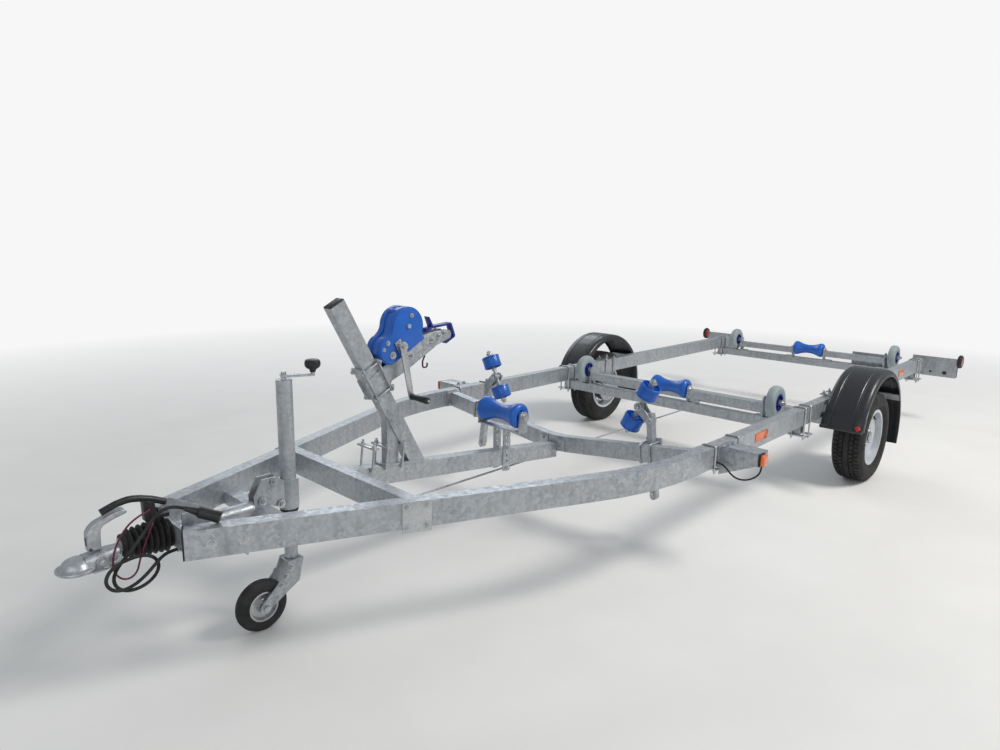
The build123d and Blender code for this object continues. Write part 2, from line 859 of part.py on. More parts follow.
# Jockey wheel clamp and sleeve
jockey_x = axle_x + jockey_ahead
with BuildPart() as jockey_clamp:
    with Locations((jockey_x, 0, clamp_level)):
        Cylinder(sleeve_radius + 8, 110)
        Cylinder(sleeve_radius, 110, mode=Mode.SUBTRACT)
    for side in (-1, 1):
        extrude(
            outline(
                Plane.XZ.offset(-side * 24),
                (jockey_x + sleeve_radius - 1, clamp_level - 52),
                (jockey_x + sleeve_radius - 1, clamp_level + 55),
                (jockey_x + 2 * sleeve_radius, clamp_level + 80),
                (nose_bar_x - 2, clamp_level + 80),
                (nose_bar_x + nose_bar_depth / 2, clamp_level + 20),
                (nose_bar_x + nose_bar_depth / 2, rail_bottom + nose_bar_height),
                (nose_bar_x - nose_bar_depth / 2, rail_bottom + nose_bar_height),
            ),
            amount=side * 6,
        )

with BuildPart() as jockey_sleeve:
    with Locations((jockey_x, 0, (sleeve_foot + sleeve_top) / 2)):
        Cylinder(sleeve_radius, sleeve_top - sleeve_foot)
        Cylinder(sleeve_radius - sleeve_wall, sleeve_top - sleeve_foot, mode=Mode.SUBTRACT)
    with Locations((jockey_x, 0, sleeve_top + 3)):
        Cylinder(sleeve_radius, 6)
        Cylinder(8 + pin_clearance, 6, mode=Mode.SUBTRACT)

with BuildPart() as jockey_crank:
    with Locations((jockey_x, 0, sleeve_top - 10)):
        Cylinder(8, 60)
    with Locations(Location((jockey_x, 0, sleeve_top + 24), (0, 0, 155))):
        with Locations((50, 0, 0)):
            Box(124, 14, 10)
        with Locations((105, 0, 10)):
            Cylinder(12, 24)
        with Locations((105, 0, 38)):
            Cylinder(30, 32)

with BuildPart() as jockey_leg:
    with Locations((jockey_x, 0, (leg_foot + leg_top) / 2)):
        Cylinder(leg_radius, leg_top - leg_foot)
        Cylinder(leg_radius - 4, leg_top - leg_foot, mode=Mode.SUBTRACT)
    with Locations((jockey_x, 0, leg_foot + 4)):
        Cylinder(leg_radius, 8)
    with Locations((jockey_x, 0, leg_foot - 20)):
        Cylinder(pin_radius, 42)
    with Locations((jockey_x, 0, leg_foot - 36)):
        Cylinder(16, 10)

jockey_wheel_x = jockey_x + jockey_trail
fork_top = leg_foot - 2
fork_y = jockey_width / 2 + 7
with BuildPart() as jockey_fork:
    with Locations((jockey_x, 0, fork_top - fork_bridge / 2)):
        Box(60, 2 * (fork_y + fork_sheet), fork_bridge)
    for side in (-1, 1):
        with BuildSketch(Plane.XZ.offset(-side * fork_y)):
            with Locations((jockey_wheel_x, jockey_radius)):
                Circle(20)
            with BuildLine():
                Polyline(
                    (jockey_x - 30, fork_top),
                    (jockey_x + 30, fork_top),
                    (jockey_x + 48, fork_top - 46),
                    (jockey_wheel_x + 14, jockey_radius + 14),
                    (jockey_wheel_x - 14, jockey_radius - 14),
                    (jockey_x - 10, fork_top - 90),
                    close=True,
                )
            make_face()
        extrude(amount=-side * fork_sheet)
    with Locations((jockey_wheel_x, 0, jockey_radius)):
        Cylinder(pin_radius, 2 * (fork_y + fork_sheet) + 16, rotation=(90, 0, 0))
    with Locations((jockey_x, 0, fork_top - fork_bridge / 2)):
        Cylinder(pin_radius + pin_clearance, 2 * fork_bridge, mode=Mode.SUBTRACT)

jockey_rim_radius = 58
with BuildPart() as jockey_rim:
    half = jockey_width / 2
    revolve(
        cross_profile(
            jockey_wheel_x,
            0,
            jockey_radius,
            1,
            (
                (-half - 2, roller_bore),
                (-half - 2, 22),
                (-half + 16, 26),
                (-half + 16, 46),
                (-half + 2, 52),
                (-half + 2, jockey_rim_radius),
                (half - 2, jockey_rim_radius),
                (half - 2, 52),
                (half - 16, 46),
                (half - 16, 26),
                (half + 2, 22),
                (half + 2, roller_bore),
            ),
        ),
        axis=cross_axis(jockey_wheel_x, jockey_radius),
    )

with BuildPart() as jockey_tyre:
    revolve(
        cross_profile(
            jockey_wheel_x,
            0,
            jockey_radius,
            1,
            (
                (-half + 2, jockey_rim_radius),
                (-half, 66),
                (-half, 84),
                (-half + 8, 96),
                (-half + 18, jockey_radius),
                (half - 18, jockey_radius),
                (half - 8, 96),
                (half, 84),
                (half, 66),
                (half - 2, jockey_rim_radius),
            ),
        ),
        axis=cross_axis(jockey_wheel_x, jockey_radius),
    )

# Torsion axle with trailing arms, stubs and brake plates
with BuildPart() as axle_tube:
    with Locations((axle_x + axle_ahead, 0, axle_height)):
        Box(axle_size, 2 * axle_half_length, axle_size)
        Box(axle_size - 2 * axle_wall, 2 * axle_half_length, axle_size - 2 * axle_wall, mode=Mode.SUBTRACT)
    seat_bottom = axle_height + axle_size / 2
    with Locations(
        (axle_x + axle_ahead, rail_y, (seat_bottom + rail_bottom) / 2),
        (axle_x + axle_ahead, -rail_y, (seat_bottom + rail_bottom) / 2),
    ):
        Box(150, rail_width - 12, rail_bottom - seat_bottom)

arm_inner = axle_half_length + 3
arm_outer = arm_inner + arm_thickness
with BuildPart() as axle_arms:
    with BuildSketch(Plane.XZ.offset(-arm_inner)):
        with Locations((axle_x, wheel_radius), (axle_x + axle_ahead, axle_height)):
            Circle(arm_end_radius)
        with BuildLine():
            lean = Vector(axle_ahead, axle_height - wheel_radius, 0).normalized()
            normal = Vector(-lean.Y, lean.X, 0) * arm_end_radius
            low = Vector(axle_x, wheel_radius, 0)
            high = Vector(axle_x + axle_ahead, axle_height, 0)
            Polyline(low + normal, high + normal, high - normal, low - normal, close=True)
        make_face()
    extrude(amount=-arm_thickness)
    with Locations((axle_x + axle_ahead, arm_inner - 20, axle_height)):
        Box(axle_size - 2 * axle_wall - 8, 40, axle_size - 2 * axle_wall - 8)
    stub_end = wheel_y + 36
    with Locations((axle_x, (arm_outer + stub_end) / 2, wheel_radius)):
        Cylinder(stub_radius, stub_end - arm_outer, rotation=(90, 0, 0))
    with Locations((axle_x, arm_outer + 3, wheel_radius)):
        Cylinder(drum_radius + 6, 6, rotation=(90, 0, 0))
    mirror(about=Plane.XZ)

# Wheels: drum and hub, steel rim, tyre
half_rim = rim_width / 2
drum_inner = arm_outer + 12 - wheel_y
for hand, side in (("left", 1), ("right", -1)):
    y = side * wheel_y
    with BuildPart() as hub:
        revolve(
            cross_profile(
                axle_x,
                y,
                wheel_radius,
                side,
                (
                    (drum_inner, stub_radius + hub_clearance),
                    (drum_inner, drum_radius),
                    (drum_inner + 52, drum_radius),
                    (drum_inner + 60, drum_radius - 12),
                    (drum_inner + 60, 46),
                    (wheel_offset - 14, 46),
                    (wheel_offset - 14, 74),
                    (wheel_offset - rim_wall, 74),
                    (wheel_offset - rim_wall, 30),
                    (wheel_offset + 26, 30),
                    (wheel_offset + 30, 24),
                    (wheel_offset + 30, 0),
                    (42, 0),
                    (42, stub_radius + hub_clearance),
                ),
            ),
            axis=cross_axis(axle_x, wheel_radius),
        )
    hub.part.label = "hub_" + hand
    export_step(hub.part, "parts/hub_" + hand + ".step")

    with BuildPart() as rim:
        revolve(
            cross_profile(
                axle_x,
                y,
                wheel_radius,
                side,
                (
                    (-half_rim, bead_radius - rim_wall),
                    (-half_rim, flange_radius),
                    (-half_rim + rim_wall, flange_radius),
                    (-half_rim + rim_wall, bead_radius),
                    (half_rim - rim_wall, bead_radius),
                    (half_rim - rim_wall, flange_radius),
                    (half_rim, flange_radius),
                    (half_rim, bead_radius - rim_wall),
                    (wheel_offset - 2, bead_radius - rim_wall),
                    (wheel_offset + 22, 112),
                    (wheel_offset, 78),
                    (wheel_offset, 31),
                    (wheel_offset - rim_wall, 31),
                    (wheel_offset - rim_wall, 80),
                    (wheel_offset + 17, 113),
                    (wheel_offset - 9, bead_radius - rim_wall),
                ),
            ),
            axis=cross_axis(axle_x, wheel_radius),
        )
        dish = (axle_x, y + side * (wheel_offset - 20), wheel_radius)
        with BuildSketch(Plane(origin=dish, x_dir=(1, 0, 0), z_dir=(0, side, 0))):
            with PolarLocations(133, 10):
                Circle(11)
        extrude(amount=60, mode=Mode.SUBTRACT)
    rim.part.label = "rim_" + hand
    export_step(rim.part, "parts/rim_" + hand + ".step")

    with BuildPart() as tyre:
        bead = half_rim - rim_wall
        wall = tyre_width / 2
        revolve(
            cross_profile(
                axle_x,
                y,
                wheel_radius,
                side,
                (
                    (-bead, bead_radius),
                    (-bead, flange_radius),
                    (-wall, wheel_radius - 62),
                    (-wall + 4, wheel_radius - 34),
                    (-wall + 18, wheel_radius - 8),
                    (-wall + 34, wheel_radius),
                    (wall - 34, wheel_radius),
                    (wall - 18, wheel_radius - 8),
                    (wall - 4, wheel_radius - 34),
                    (wall, wheel_radius - 62),
                    (bead, flange_radius),
                    (bead, bead_radius),
                    (bead - 14, bead_radius),
                    (wall - 12, wheel_radius - 60),
                    (wall - 24, wheel_radius - 18),
                    (-wall + 24, wheel_radius - 18),
                    (-wall + 12, wheel_radius - 60),
                    (-bead + 14, bead_radius),
                ),
            ),
            axis=cross_axis(axle_x, wheel_radius),
        )
    tyre.part.label = "tyre_" + hand
    export_step(tyre.part, "parts/tyre_" + hand + ".step")

# Mudguards and the stays that carry them
half_guard = guard_width / 2
with BuildPart() as mudguards:
    guard_sweep = 180 - guard_front_angle - guard_rear_angle
    profile = (
        (-half_guard, guard_radius - guard_lip),
        (-half_guard + 10, guard_radius - 8),
        (-half_guard + 26, guard_radius),
        (half_guard - 26, guard_radius),
        (half_guard - 10, guard_radius - 8),
        (half_guard, guard_radius - guard_lip),
        (half_guard - guard_sheet, guard_radius - guard_lip),
        (half_guard - 13, guard_radius - 11),
        (half_guard - 28, guard_radius - guard_sheet),
        (-half_guard + 28, guard_radius - guard_sheet),
        (-half_guard + 13, guard_radius - 11),
        (-half_guard + guard_sheet, guard_radius - guard_lip),
    )
    face = outline(Plane.YZ.offset(axle_x), *[(wheel_y + a, wheel_radius + r) for a, r in profile])
    turn = Axis((axle_x, wheel_y, wheel_radius), (0, 1, 0))
    start = face.rotate(turn, 90 - guard_front_angle)
    revolve(start, axis=turn, revolution_arc=-guard_sweep)
    mirror(about=Plane.XZ)

with BuildPart() as mudguard_stays:
    stay_radius = guard_radius - guard_lip - stay_thickness / 2
    for middle in (stay_angle, 180 - stay_angle):
        with BuildSketch(Plane.XZ.offset(-rail_outer_y)):
            with BuildLine():
                CenterArc((axle_x, wheel_radius), stay_radius, middle - 3.5, 7)
            trace(line_width=stay_thickness)
        extrude(amount=-(wheel_y + half_guard - rail_outer_y))
    mirror(about=Plane.XZ)

# Outriggers with marker lamps ahead of the wheels
outrigger_x = axle_x + outrigger_ahead
with BuildPart() as outriggers:
    extrude(
        outline(
            Plane.XY.offset(rail_top - 60),
            (outrigger_x - 110, rail_outer_y),
            (outrigger_x - 40, outrigger_end),
            (outrigger_x + 75, outrigger_end),
            (outrigger_x + 100, rail_outer_y),
        ),
        amount=60,
    )
    extrude(
        outline(
            Plane.XY.offset(rail_top - 60),
            (outrigger_x - 104, rail_outer_y),
            (outrigger_x - 35, outrigger_end - 4),
            (outrigger_x + 71, outrigger_end - 4),
            (outrigger_x + 96, rail_outer_y),
        ),
        amount=56,
        mode=Mode.SUBTRACT,
    )
    mirror(about=Plane.XZ)

board_x = axle_x + board_ahead
with BuildPart() as lamps:
    with Locations((board_x - 2.5 - lamp_depth / 2, board_outer - 110, board_top - board_height + 50)):
        Box(lamp_depth, 220, 96)
    with Locations((outrigger_x + 40, outrigger_end + 12, rail_top - 30)):
        Box(60, 24, 54)
    with Locations((axle_x + guard_radius + 8, wheel_y + 70, wheel_radius + 90)):
        Box(12, 50, 30)
    with Locations((board_x, board_outer + marker_width / 2, board_top - 20)):
        Cylinder(marker_radius, marker_width, rotation=(90, 0, 0))
    mirror(about=Plane.XZ)

# Lamp boards on the rails' ends
with BuildPart() as lamp_boards:
    with Locations((board_x, (board_inner + board_outer) / 2, board_top - board_height / 2)):
        Box(5, board_outer - board_inner, board_height)
    with Locations(((board_x + axle_x - rail_tail - cap_thickness) / 2, rail_y, rail_mid)):
        Box(axle_x - rail_tail - cap_thickness - board_x, 40, 60)
    mirror(about=Plane.XZ)

plate_x = axle_x + cradle_stations["rear"] - beam_size / 2
with BuildPart() as number_plate:
    with Locations((plate_x - 12, number_y, number_level)):
        Box(4, 300, 110)
    with Locations((plate_x - 5, number_y - 75, beam_top - 25), (plate_x - 5, number_y + 75, beam_top - 25)):
        Box(10, 30, 50)
    holes = [(plate_x - 12, number_y + across, number_level + 5) for across in (-100, 100)]
    with Locations(*holes):
        Cylinder(3.5, 20, rotation=(0, 90, 0), mode=Mode.SUBTRACT)

# Clamp bows and plates
with BuildPart() as clamps:
    bow = 8
    for station in cradle_stations.values():
        for offset in (-40, 40):
            plane = Plane.YZ.offset(axle_x + station + offset)
            middle = (rail_top + beam_top - beam_size) / 2
            plane.origin = Vector(axle_x + station + offset, rail_y, middle)
            add(ring(plane, rail_width, rail_height + beam_size, bow, bow))
    for offset in (-50, 50):
        depth = rail_height + rail_bottom - seat_bottom
        plane = Plane.YZ.offset(axle_x + axle_ahead + offset)
        plane.origin = Vector(axle_x + axle_ahead + offset, rail_y, rail_top - depth / 2)
        add(ring(plane, rail_width, depth, bow, bow))
    side_x = front_bar_x
    side_plane = Plane(
        origin=(side_x, rail_centre_y(side_x), rail_mid - 5) + nose_side * (rail_width / 2),
        x_dir=nose_direction,
        z_dir=nose_side * 1,
    )
    with BuildSketch(side_plane):
        Rectangle(110, 118)
    extrude(amount=6)
    mirror(about=Plane.XZ)
    for distance in (80, 150, 235):
        bow_x = keel_front_x - distance
        centre = (bow_x, 0, keel_top(bow_x) - keel_height / 2 + foot_plate / 2)
        plane = Plane(origin=centre, x_dir=(0, 1, 0), z_dir=(cos(keel_slope), 0, sin(keel_slope)))
        add(ring(plane, keel_width + 12, keel_height + foot_plate, bow, bow))

# Plug of the lamp cable, lying on the drawbar
plug_nose = Vector(nose_x - 20.5, 104, rail_top + 55.5)
plug_tail = Vector(nose_x - 107.5, 171, rail_top + plug_radius - 0.5)
plug_line = (plug_tail - plug_nose).normalized()
plug_reach = (plug_tail - plug_nose).length
plug_side = plug_line.cross(Vector(0, 0, 1)).normalized()
with BuildPart() as lamp_plug:
    with BuildSketch(Plane(origin=plug_nose, x_dir=plug_line, z_dir=plug_side)):
        with BuildLine():
            Polyline(
                (0, 0),
                (0, cable_diameter / 2 + 2),
                (plug_reach * 0.35, plug_radius - 7),
                (plug_reach * 0.42, plug_radius - 1),
                (plug_reach * 0.85, plug_radius - 1),
                (plug_reach * 0.85, plug_radius),
                (plug_reach, plug_radius),
                (plug_reach, 0),
                close=True,
            )
        make_face()
    revolve(axis=Axis(plug_nose, plug_line))


def corner_radii(points):
    """Largest tangent arc for each corner of a cord's route."""
    radii = []
    for before, here, after in zip(points, points[1:], points[2:]):
        arriving = Vector(here) - Vector(before)
        leaving = Vector(after) - Vector(here)
        half_turn = radians(arriving.get_angle(leaving)) / 2
        radii.append(0.45 * min(arriving.length, leaving.length) / tan(half_turn))
    return radii


def carried(place, chosen, points):
    """A cord's points, chosen about one place, moved along with that place."""
    step = Vector(place) - Vector(chosen)
    return [tuple(Vector(point) + step) for point in points]


# Routes of the cords that hang free
nose_place = (nose_x, 0, coupling_level)
lamp_cable_hang = (
    (2888, 89, 462),
    (2915, 92, 450),
    (2940, 94, 428),
    (2966, 94, 406),
    (2996, 93, 388),
    (3030, 92, 380),
    (3061, 91, 390),
    (3078, 89, 418),
    (3068, 87, 448),
    (3040, 85, 467),
    (3003, 83, 474),
    (2964, 81, 474),
    (2931, 80, 459),
    (2914, 79, 429),
    (2922, 78, 397),
    (2948, 77, 374),
    (2982, 76, 363),
    (3016, 75, 366),
    (3042, 74, 385),
    (3051, 73, 415),
    (3040, 73, 445),
    (3018, 73, 470),
    (2992, 73, 496),
    (2966, 73, 524),
    (2942, 73, 553),
    (2920, 74, 583),
    (2893, 77, 605),
)
lamp_cable_route = (
    cable_exit,
    *carried(nose_place, (2852.5, 0, 490), lamp_cable_hang),
    tuple(plug_nose - plug_line * 32),
    tuple(plug_nose),
)
breakaway_hang = (
    (2914, handbrake_width / 2, 600),
    (2914, 37, 600),
    (2931, 53, 601),
    (2958, 61, 597),
    (2988, 62, 580),
    (3010, 63, 556),
    (3028, 63, 526),
    (3040, 62, 492),
    (3045, 61, 458),
    (3039, 60, 426),
    (3020, 58, 401),
    (2994, 57, 396),
    (2974, 58, 414),
    (2966, 60, 446),
    (2956, 62, 478),
    (2942, 61, 510),
    (2925, 56, 539),
    (2911, 45, 559),
    (2905, 29, 567),
    (2905, handbrake_width / 2, 567),
)
breakaway_route = carried(nose_place, (2852.5, 0, 490), breakaway_hang)
marker_lead_hang = (
    (712, 900, 470),
    (712, 928, 470),
    (714, 957, 452),
    (714, 979, 430),
    (709, 1006, 415),
    (701, 1036, 413),
    (688, 1064, 422),
    (675, 1086, 440),
    (667, 1098, 464),
    (667, 1098, 488),
)
marker_lead_route = carried((outrigger_x, rail_outer_y, rail_top), (617.5, 900, 545), marker_lead_hang)

with BuildPart() as lamp_cable:
    with BuildLine() as path:
        FilletPolyline(*lamp_cable_route, radius=corner_radii(lamp_cable_route))
    with BuildSketch(Plane(origin=path.line @ 0, z_dir=path.line % 0)):
        Circle(cable_diameter / 2)
    sweep(path=path.line)

with BuildPart() as breakaway_cable:
    with BuildLine() as path:
        FilletPolyline(*breakaway_route, radius=corner_radii(breakaway_route))
    with BuildSketch(Plane(origin=path.line @ 0, z_dir=path.line % 0)):
        Circle(breakaway_diameter / 2)
    sweep(path=path.line)

with BuildPart() as marker_lead:
    with BuildLine() as path:
        FilletPolyline(*marker_lead_route, radius=corner_radii(marker_lead_route))
    with BuildSketch(Plane(origin=path.line @ 0, z_dir=path.line % 0)):
        Circle(lead_diameter / 2)
    sweep(path=path.line)

for label, route, diameter in (
    ("lamp_cable", lamp_cable_route, cable_diameter),
    ("breakaway_cable", breakaway_route, breakaway_diameter),
    ("marker_lead", marker_lead_route, lead_diameter),
):
    print(label, "arcs from", round(min(corner_radii(route))), "mm on a diameter of", diameter)

for name, piece in {
    "rails": rails,
    "end_caps": end_caps,
    "crossbars": crossbars,
    "keel_beam": keel_beam,
    "vee_crossbar": vee_crossbar,
    "cradles": cradles,
    "keel_stand": keel_stand,
    "bow_posts": bow_posts,
    "winch_stand": winch_stand,
    "winch_arm": winch_arm,
    "bow_stop": bow_stop,
    "winch_cover": winch_cover,
    "winch_crank": winch_crank,
    "coupling_head": coupling_head,
    "coupling_handle": coupling_handle,
    "overrun_housing": overrun_housing,
    "overrun_shaft": overrun_shaft,
    "gaiter": gaiter,
    "handbrake": handbrake,
    "brake_rod": brake_rod,
    "jockey_clamp": jockey_clamp,
    "jockey_sleeve": jockey_sleeve,
    "jockey_crank": jockey_crank,
    "jockey_leg": jockey_leg,
    "jockey_fork": jockey_fork,
    "jockey_rim": jockey_rim,
    "jockey_tyre": jockey_tyre,
    "axle_tube": axle_tube,
    "axle_arms": axle_arms,
    "mudguards": mudguards,
    "mudguard_stays": mudguard_stays,
    "outriggers": outriggers,
    "lamps": lamps,
    "lamp_boards": lamp_boards,
    "number_plate": number_plate,
    "clamps": clamps,
    "lamp_plug": lamp_plug,
    "lamp_cable": lamp_cable,
    "breakaway_cable": breakaway_cable,
    "marker_lead": marker_lead,
}.items():
    piece.part.label = name
    export_step(piece.part, "parts/" + name + ".step")
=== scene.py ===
"""Boat trailer: galvanized steel, tyres, rollers, winch, coupling, lamps, fasteners and cords.

Metres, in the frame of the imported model: +X towards the coupling, +Y to the left side, +Z up.
"""

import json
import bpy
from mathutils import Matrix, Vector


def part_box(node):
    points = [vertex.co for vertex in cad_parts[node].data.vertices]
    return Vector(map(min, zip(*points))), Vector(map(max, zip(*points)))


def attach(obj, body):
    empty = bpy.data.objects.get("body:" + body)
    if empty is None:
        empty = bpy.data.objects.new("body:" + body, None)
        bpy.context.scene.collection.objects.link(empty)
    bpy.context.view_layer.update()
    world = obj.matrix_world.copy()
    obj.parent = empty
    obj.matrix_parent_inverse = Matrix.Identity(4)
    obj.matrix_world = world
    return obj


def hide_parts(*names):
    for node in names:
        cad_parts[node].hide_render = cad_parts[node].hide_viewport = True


bl_info = {
    "name": "Boat trailer",
    "version": (1, 0, 0),
    "blender": (4, 5, 0),
    "location": "View3D > Sidebar > Trailer",
    "description": "Dresses a boat trailer's frame with finishes, tyres, lamps, bolts and cords",
    "category": "Object",
}

from math import atan2, cos, degrees, pi, radians, sin, tan

import bmesh
import bpy
from bpy.props import FloatProperty, FloatVectorProperty, IntProperty, PointerProperty
from mathutils import Matrix, Vector

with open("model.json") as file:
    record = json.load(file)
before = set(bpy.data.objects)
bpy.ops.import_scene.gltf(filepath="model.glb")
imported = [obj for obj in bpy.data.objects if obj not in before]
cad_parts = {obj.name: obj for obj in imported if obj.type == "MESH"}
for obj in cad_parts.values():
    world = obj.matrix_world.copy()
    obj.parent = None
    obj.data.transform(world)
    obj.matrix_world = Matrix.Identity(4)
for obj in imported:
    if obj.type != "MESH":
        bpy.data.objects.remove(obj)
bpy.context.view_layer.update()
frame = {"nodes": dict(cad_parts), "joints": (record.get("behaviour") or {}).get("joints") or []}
joints = {joint["name"]: joint for joint in frame["joints"]}

HANDS = {"left": 1, "right": -1}
X_AXIS = Vector((1, 0, 0))
Y_AXIS = Vector((0, 1, 0))
Z_AXIS = Vector((0, 0, 1))

# Sizes and slopes that the frame's boxes and joints don't give
RAIL_WIDTH = 0.060
RAIL_HEIGHT = 0.100
DRAWBAR_NOSE = (2.8525, 0.1341)
DRAWBAR_TURN = radians(23.7)
ARM_LEAN = radians(28.6)
STAND_OVER_ARM = 0.385
ARM_CLAMP_LEVELS = (0.085, -0.045)
SADDLE_BAR = 0.008
BALL_RADIUS = 0.0252


# Places read from the frame
def joint_place(name):
    """Where a joint turns, and the way its axis points."""
    joint = joints[name]
    return Vector(joint["pos_m"]), Vector(joint["axis"]).normalized()


def box_middle(node):
    """Middle of a node's box."""
    low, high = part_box(node)
    return (low + high) / 2


wheel_place = {hand: joint_place("wheel_" + hand + "_spin")[0] for hand in HANDS}
axle_x = wheel_place["left"].x
wheel_y = wheel_place["left"].y
wheel_radius = wheel_place["left"].z
rail_low, rail_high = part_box("rails")
rail_top = rail_high.z
rail_bottom = rail_low.z
rail_outer_y = rail_high.y
rail_y = rail_outer_y - RAIL_WIDTH / 2
rail_level = rail_top - RAIL_HEIGHT / 2
coupling_level = box_middle("overrun_shaft").z
head_base = coupling_level - 0.046
station_x = {
    name: joint_place("keel_roller_" + name + "_spin")[0].x for name in ("front", "mid", "rear")
}
housing_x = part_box("gaiter")[0].x
ball_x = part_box("coupling_head")[1].x - 0.060


# Settings that a user would change
def colour_setting(name, description, default):
    """A colour in the sidebar."""
    return FloatVectorProperty(
        name=name, description=description, subtype="COLOR", size=3, min=0, max=1, default=default
    )


def length_setting(name, description, default):
    """A length in the sidebar, in metres."""
    return FloatProperty(name=name, description=description, unit="LENGTH", min=0, default=default)


class TrailerColours(bpy.types.PropertyGroup):
    """Colours of the trailer's finishes."""

    zinc_light: colour_setting(
        "Zinc, light", "Bright crystals of the galvanizing", (0.50, 0.525, 0.55)
    )
    zinc_dark: colour_setting(
        "Zinc, dark", "Dull crystals of the galvanizing", (0.33, 0.352, 0.378)
    )
    roller_blue: colour_setting(
        "Roller blue", "Blue plastic of rollers and winch", (0.006, 0.115, 0.52)
    )
    hub_blue: colour_setting(
        "Hub blue", "Dark blue plastic of the side rollers' hubs", (0.010, 0.022, 0.22)
    )
    ring_grey: colour_setting("Ring grey", "Rubber rings of the side rollers", (0.32, 0.38, 0.40))
    guard_black: colour_setting("Guard black", "Moulded mudguards", (0.016, 0.018, 0.022))
    rubber_black: colour_setting("Rubber black", "Tyres, gaiter and cords", (0.014, 0.014, 0.015))
    rim_silver: colour_setting("Rim silver", "Painted road wheels", (0.66, 0.69, 0.73))
    lens_red: colour_setting("Lens red", "Red lamp lenses", (0.62, 0.02, 0.012))
    lens_amber: colour_setting("Lens amber", "Amber lamp lenses and reflectors", (0.85, 0.16, 0.02))
    cable_red: colour_setting("Cable red", "Coat of the breakaway cable", (0.10, 0.006, 0.02))


class TrailerSizes(bpy.types.PropertyGroup):
    """Sizes of the pieces that dress the frame."""

    tread_depth: length_setting("Tread depth", "Depth of the tyres' grooves", 0.007)
    tread_cuts: IntProperty(
        name="Tread cuts", description="Cross cuts round a tyre", min=12, default=62
    )
    guard_wall: length_setting("Guard wall", "Thickness of the moulded mudguards", 0.004)
    pleats: IntProperty(
        name="Pleats", description="Folds of the coupling's gaiter", min=3, default=7
    )


class TrailerStage(bpy.types.PropertyGroup):
    """Floor, light and camera."""

    floor_tone: colour_setting("Floor", "Pale floor under the trailer", (0.80, 0.79, 0.77))
    camera_place: FloatVectorProperty(
        name="Camera",
        description="Where the camera stands",
        subtype="TRANSLATION",
        unit="LENGTH",
        size=3,
        default=(3.66005, 2.302785, 1.479345),
    )
    camera_turn: FloatProperty(
        name="Heading", description="Turn of the view from +X",
        unit="ROTATION", default=radians(-136.347)
    )
    camera_dip: FloatProperty(
        name="Dip", description="How far the view looks down",
        unit="ROTATION", default=radians(11.149)
    )
    camera_roll: FloatProperty(
        name="Roll", description="How far the camera leans", unit="ROTATION", default=radians(1.028)
    )
    lens: FloatProperty(
        name="Lens", description="Focal length in millimetres", min=1, default=24.84
    )


# Materials
def material_tree(name):
    """A node tree with its shader, and the object's own coordinates."""
    material = bpy.data.materials.new(name)
    material.use_nodes = True
    tree = material.node_tree
    tree.nodes.clear()
    output = tree.nodes.new("ShaderNodeOutputMaterial")
    shader = tree.nodes.new("ShaderNodeBsdfPrincipled")
    tree.links.new(shader.outputs["BSDF"], output.inputs["Surface"])
    place = tree.nodes.new("ShaderNodeTexCoord")
    return material, tree, shader, place.outputs["Object"]


def stretched(tree, place, scale):
    """Coordinates stretched along an axis."""
    node = tree.nodes.new("ShaderNodeMapping")
    node.inputs["Scale"].default_value = scale
    tree.links.new(place, node.inputs["Vector"])
    return node.outputs["Vector"]


def cloud(tree, place, scale, detail=4.0, distortion=0.0):
    """Soft noise between 0 and 1."""
    node = tree.nodes.new("ShaderNodeTexNoise")
    node.inputs["Scale"].default_value = scale
    node.inputs["Detail"].default_value = detail
    node.inputs["Distortion"].default_value = distortion
    tree.links.new(place, node.inputs["Vector"])
    return node.outputs["Fac"]


def between(tree, factor, low, high, start=0.35, end=0.65):
    """A number that runs from low to high as the factor goes from start to end."""
    node = tree.nodes.new("ShaderNodeMapRange")
    node.inputs["From Min"].default_value = start
    node.inputs["From Max"].default_value = end
    node.inputs["To Min"].default_value = low
    node.inputs["To Max"].default_value = high
    tree.links.new(factor, node.inputs["Value"])
    return node.outputs["Result"]


def mixed(tree, factor, first, second):
    """A colour between two, each a colour or another node's output."""
    node = tree.nodes.new("ShaderNodeMix")
    node.data_type = "RGBA"
    tree.links.new(factor, node.inputs["Factor"])
    for value, socket in ((first, node.inputs["A"]), (second, node.inputs["B"])):
        if isinstance(value, bpy.types.NodeSocket):
            tree.links.new(value, socket)
        else:
            socket.default_value = (*value, 1)
    return node.outputs["Result"]


def raised(tree, shader, height, strength, distance):
    """Small relief from a height."""
    node = tree.nodes.new("ShaderNodeBump")
    node.inputs["Strength"].default_value = strength
    node.inputs["Distance"].default_value = distance
    tree.links.new(height, node.inputs["Height"])
    tree.links.new(node.outputs["Normal"], shader.inputs["Normal"])


def darker(colour, share):
    """The same colour with less light."""
    return tuple(value * share for value in colour)


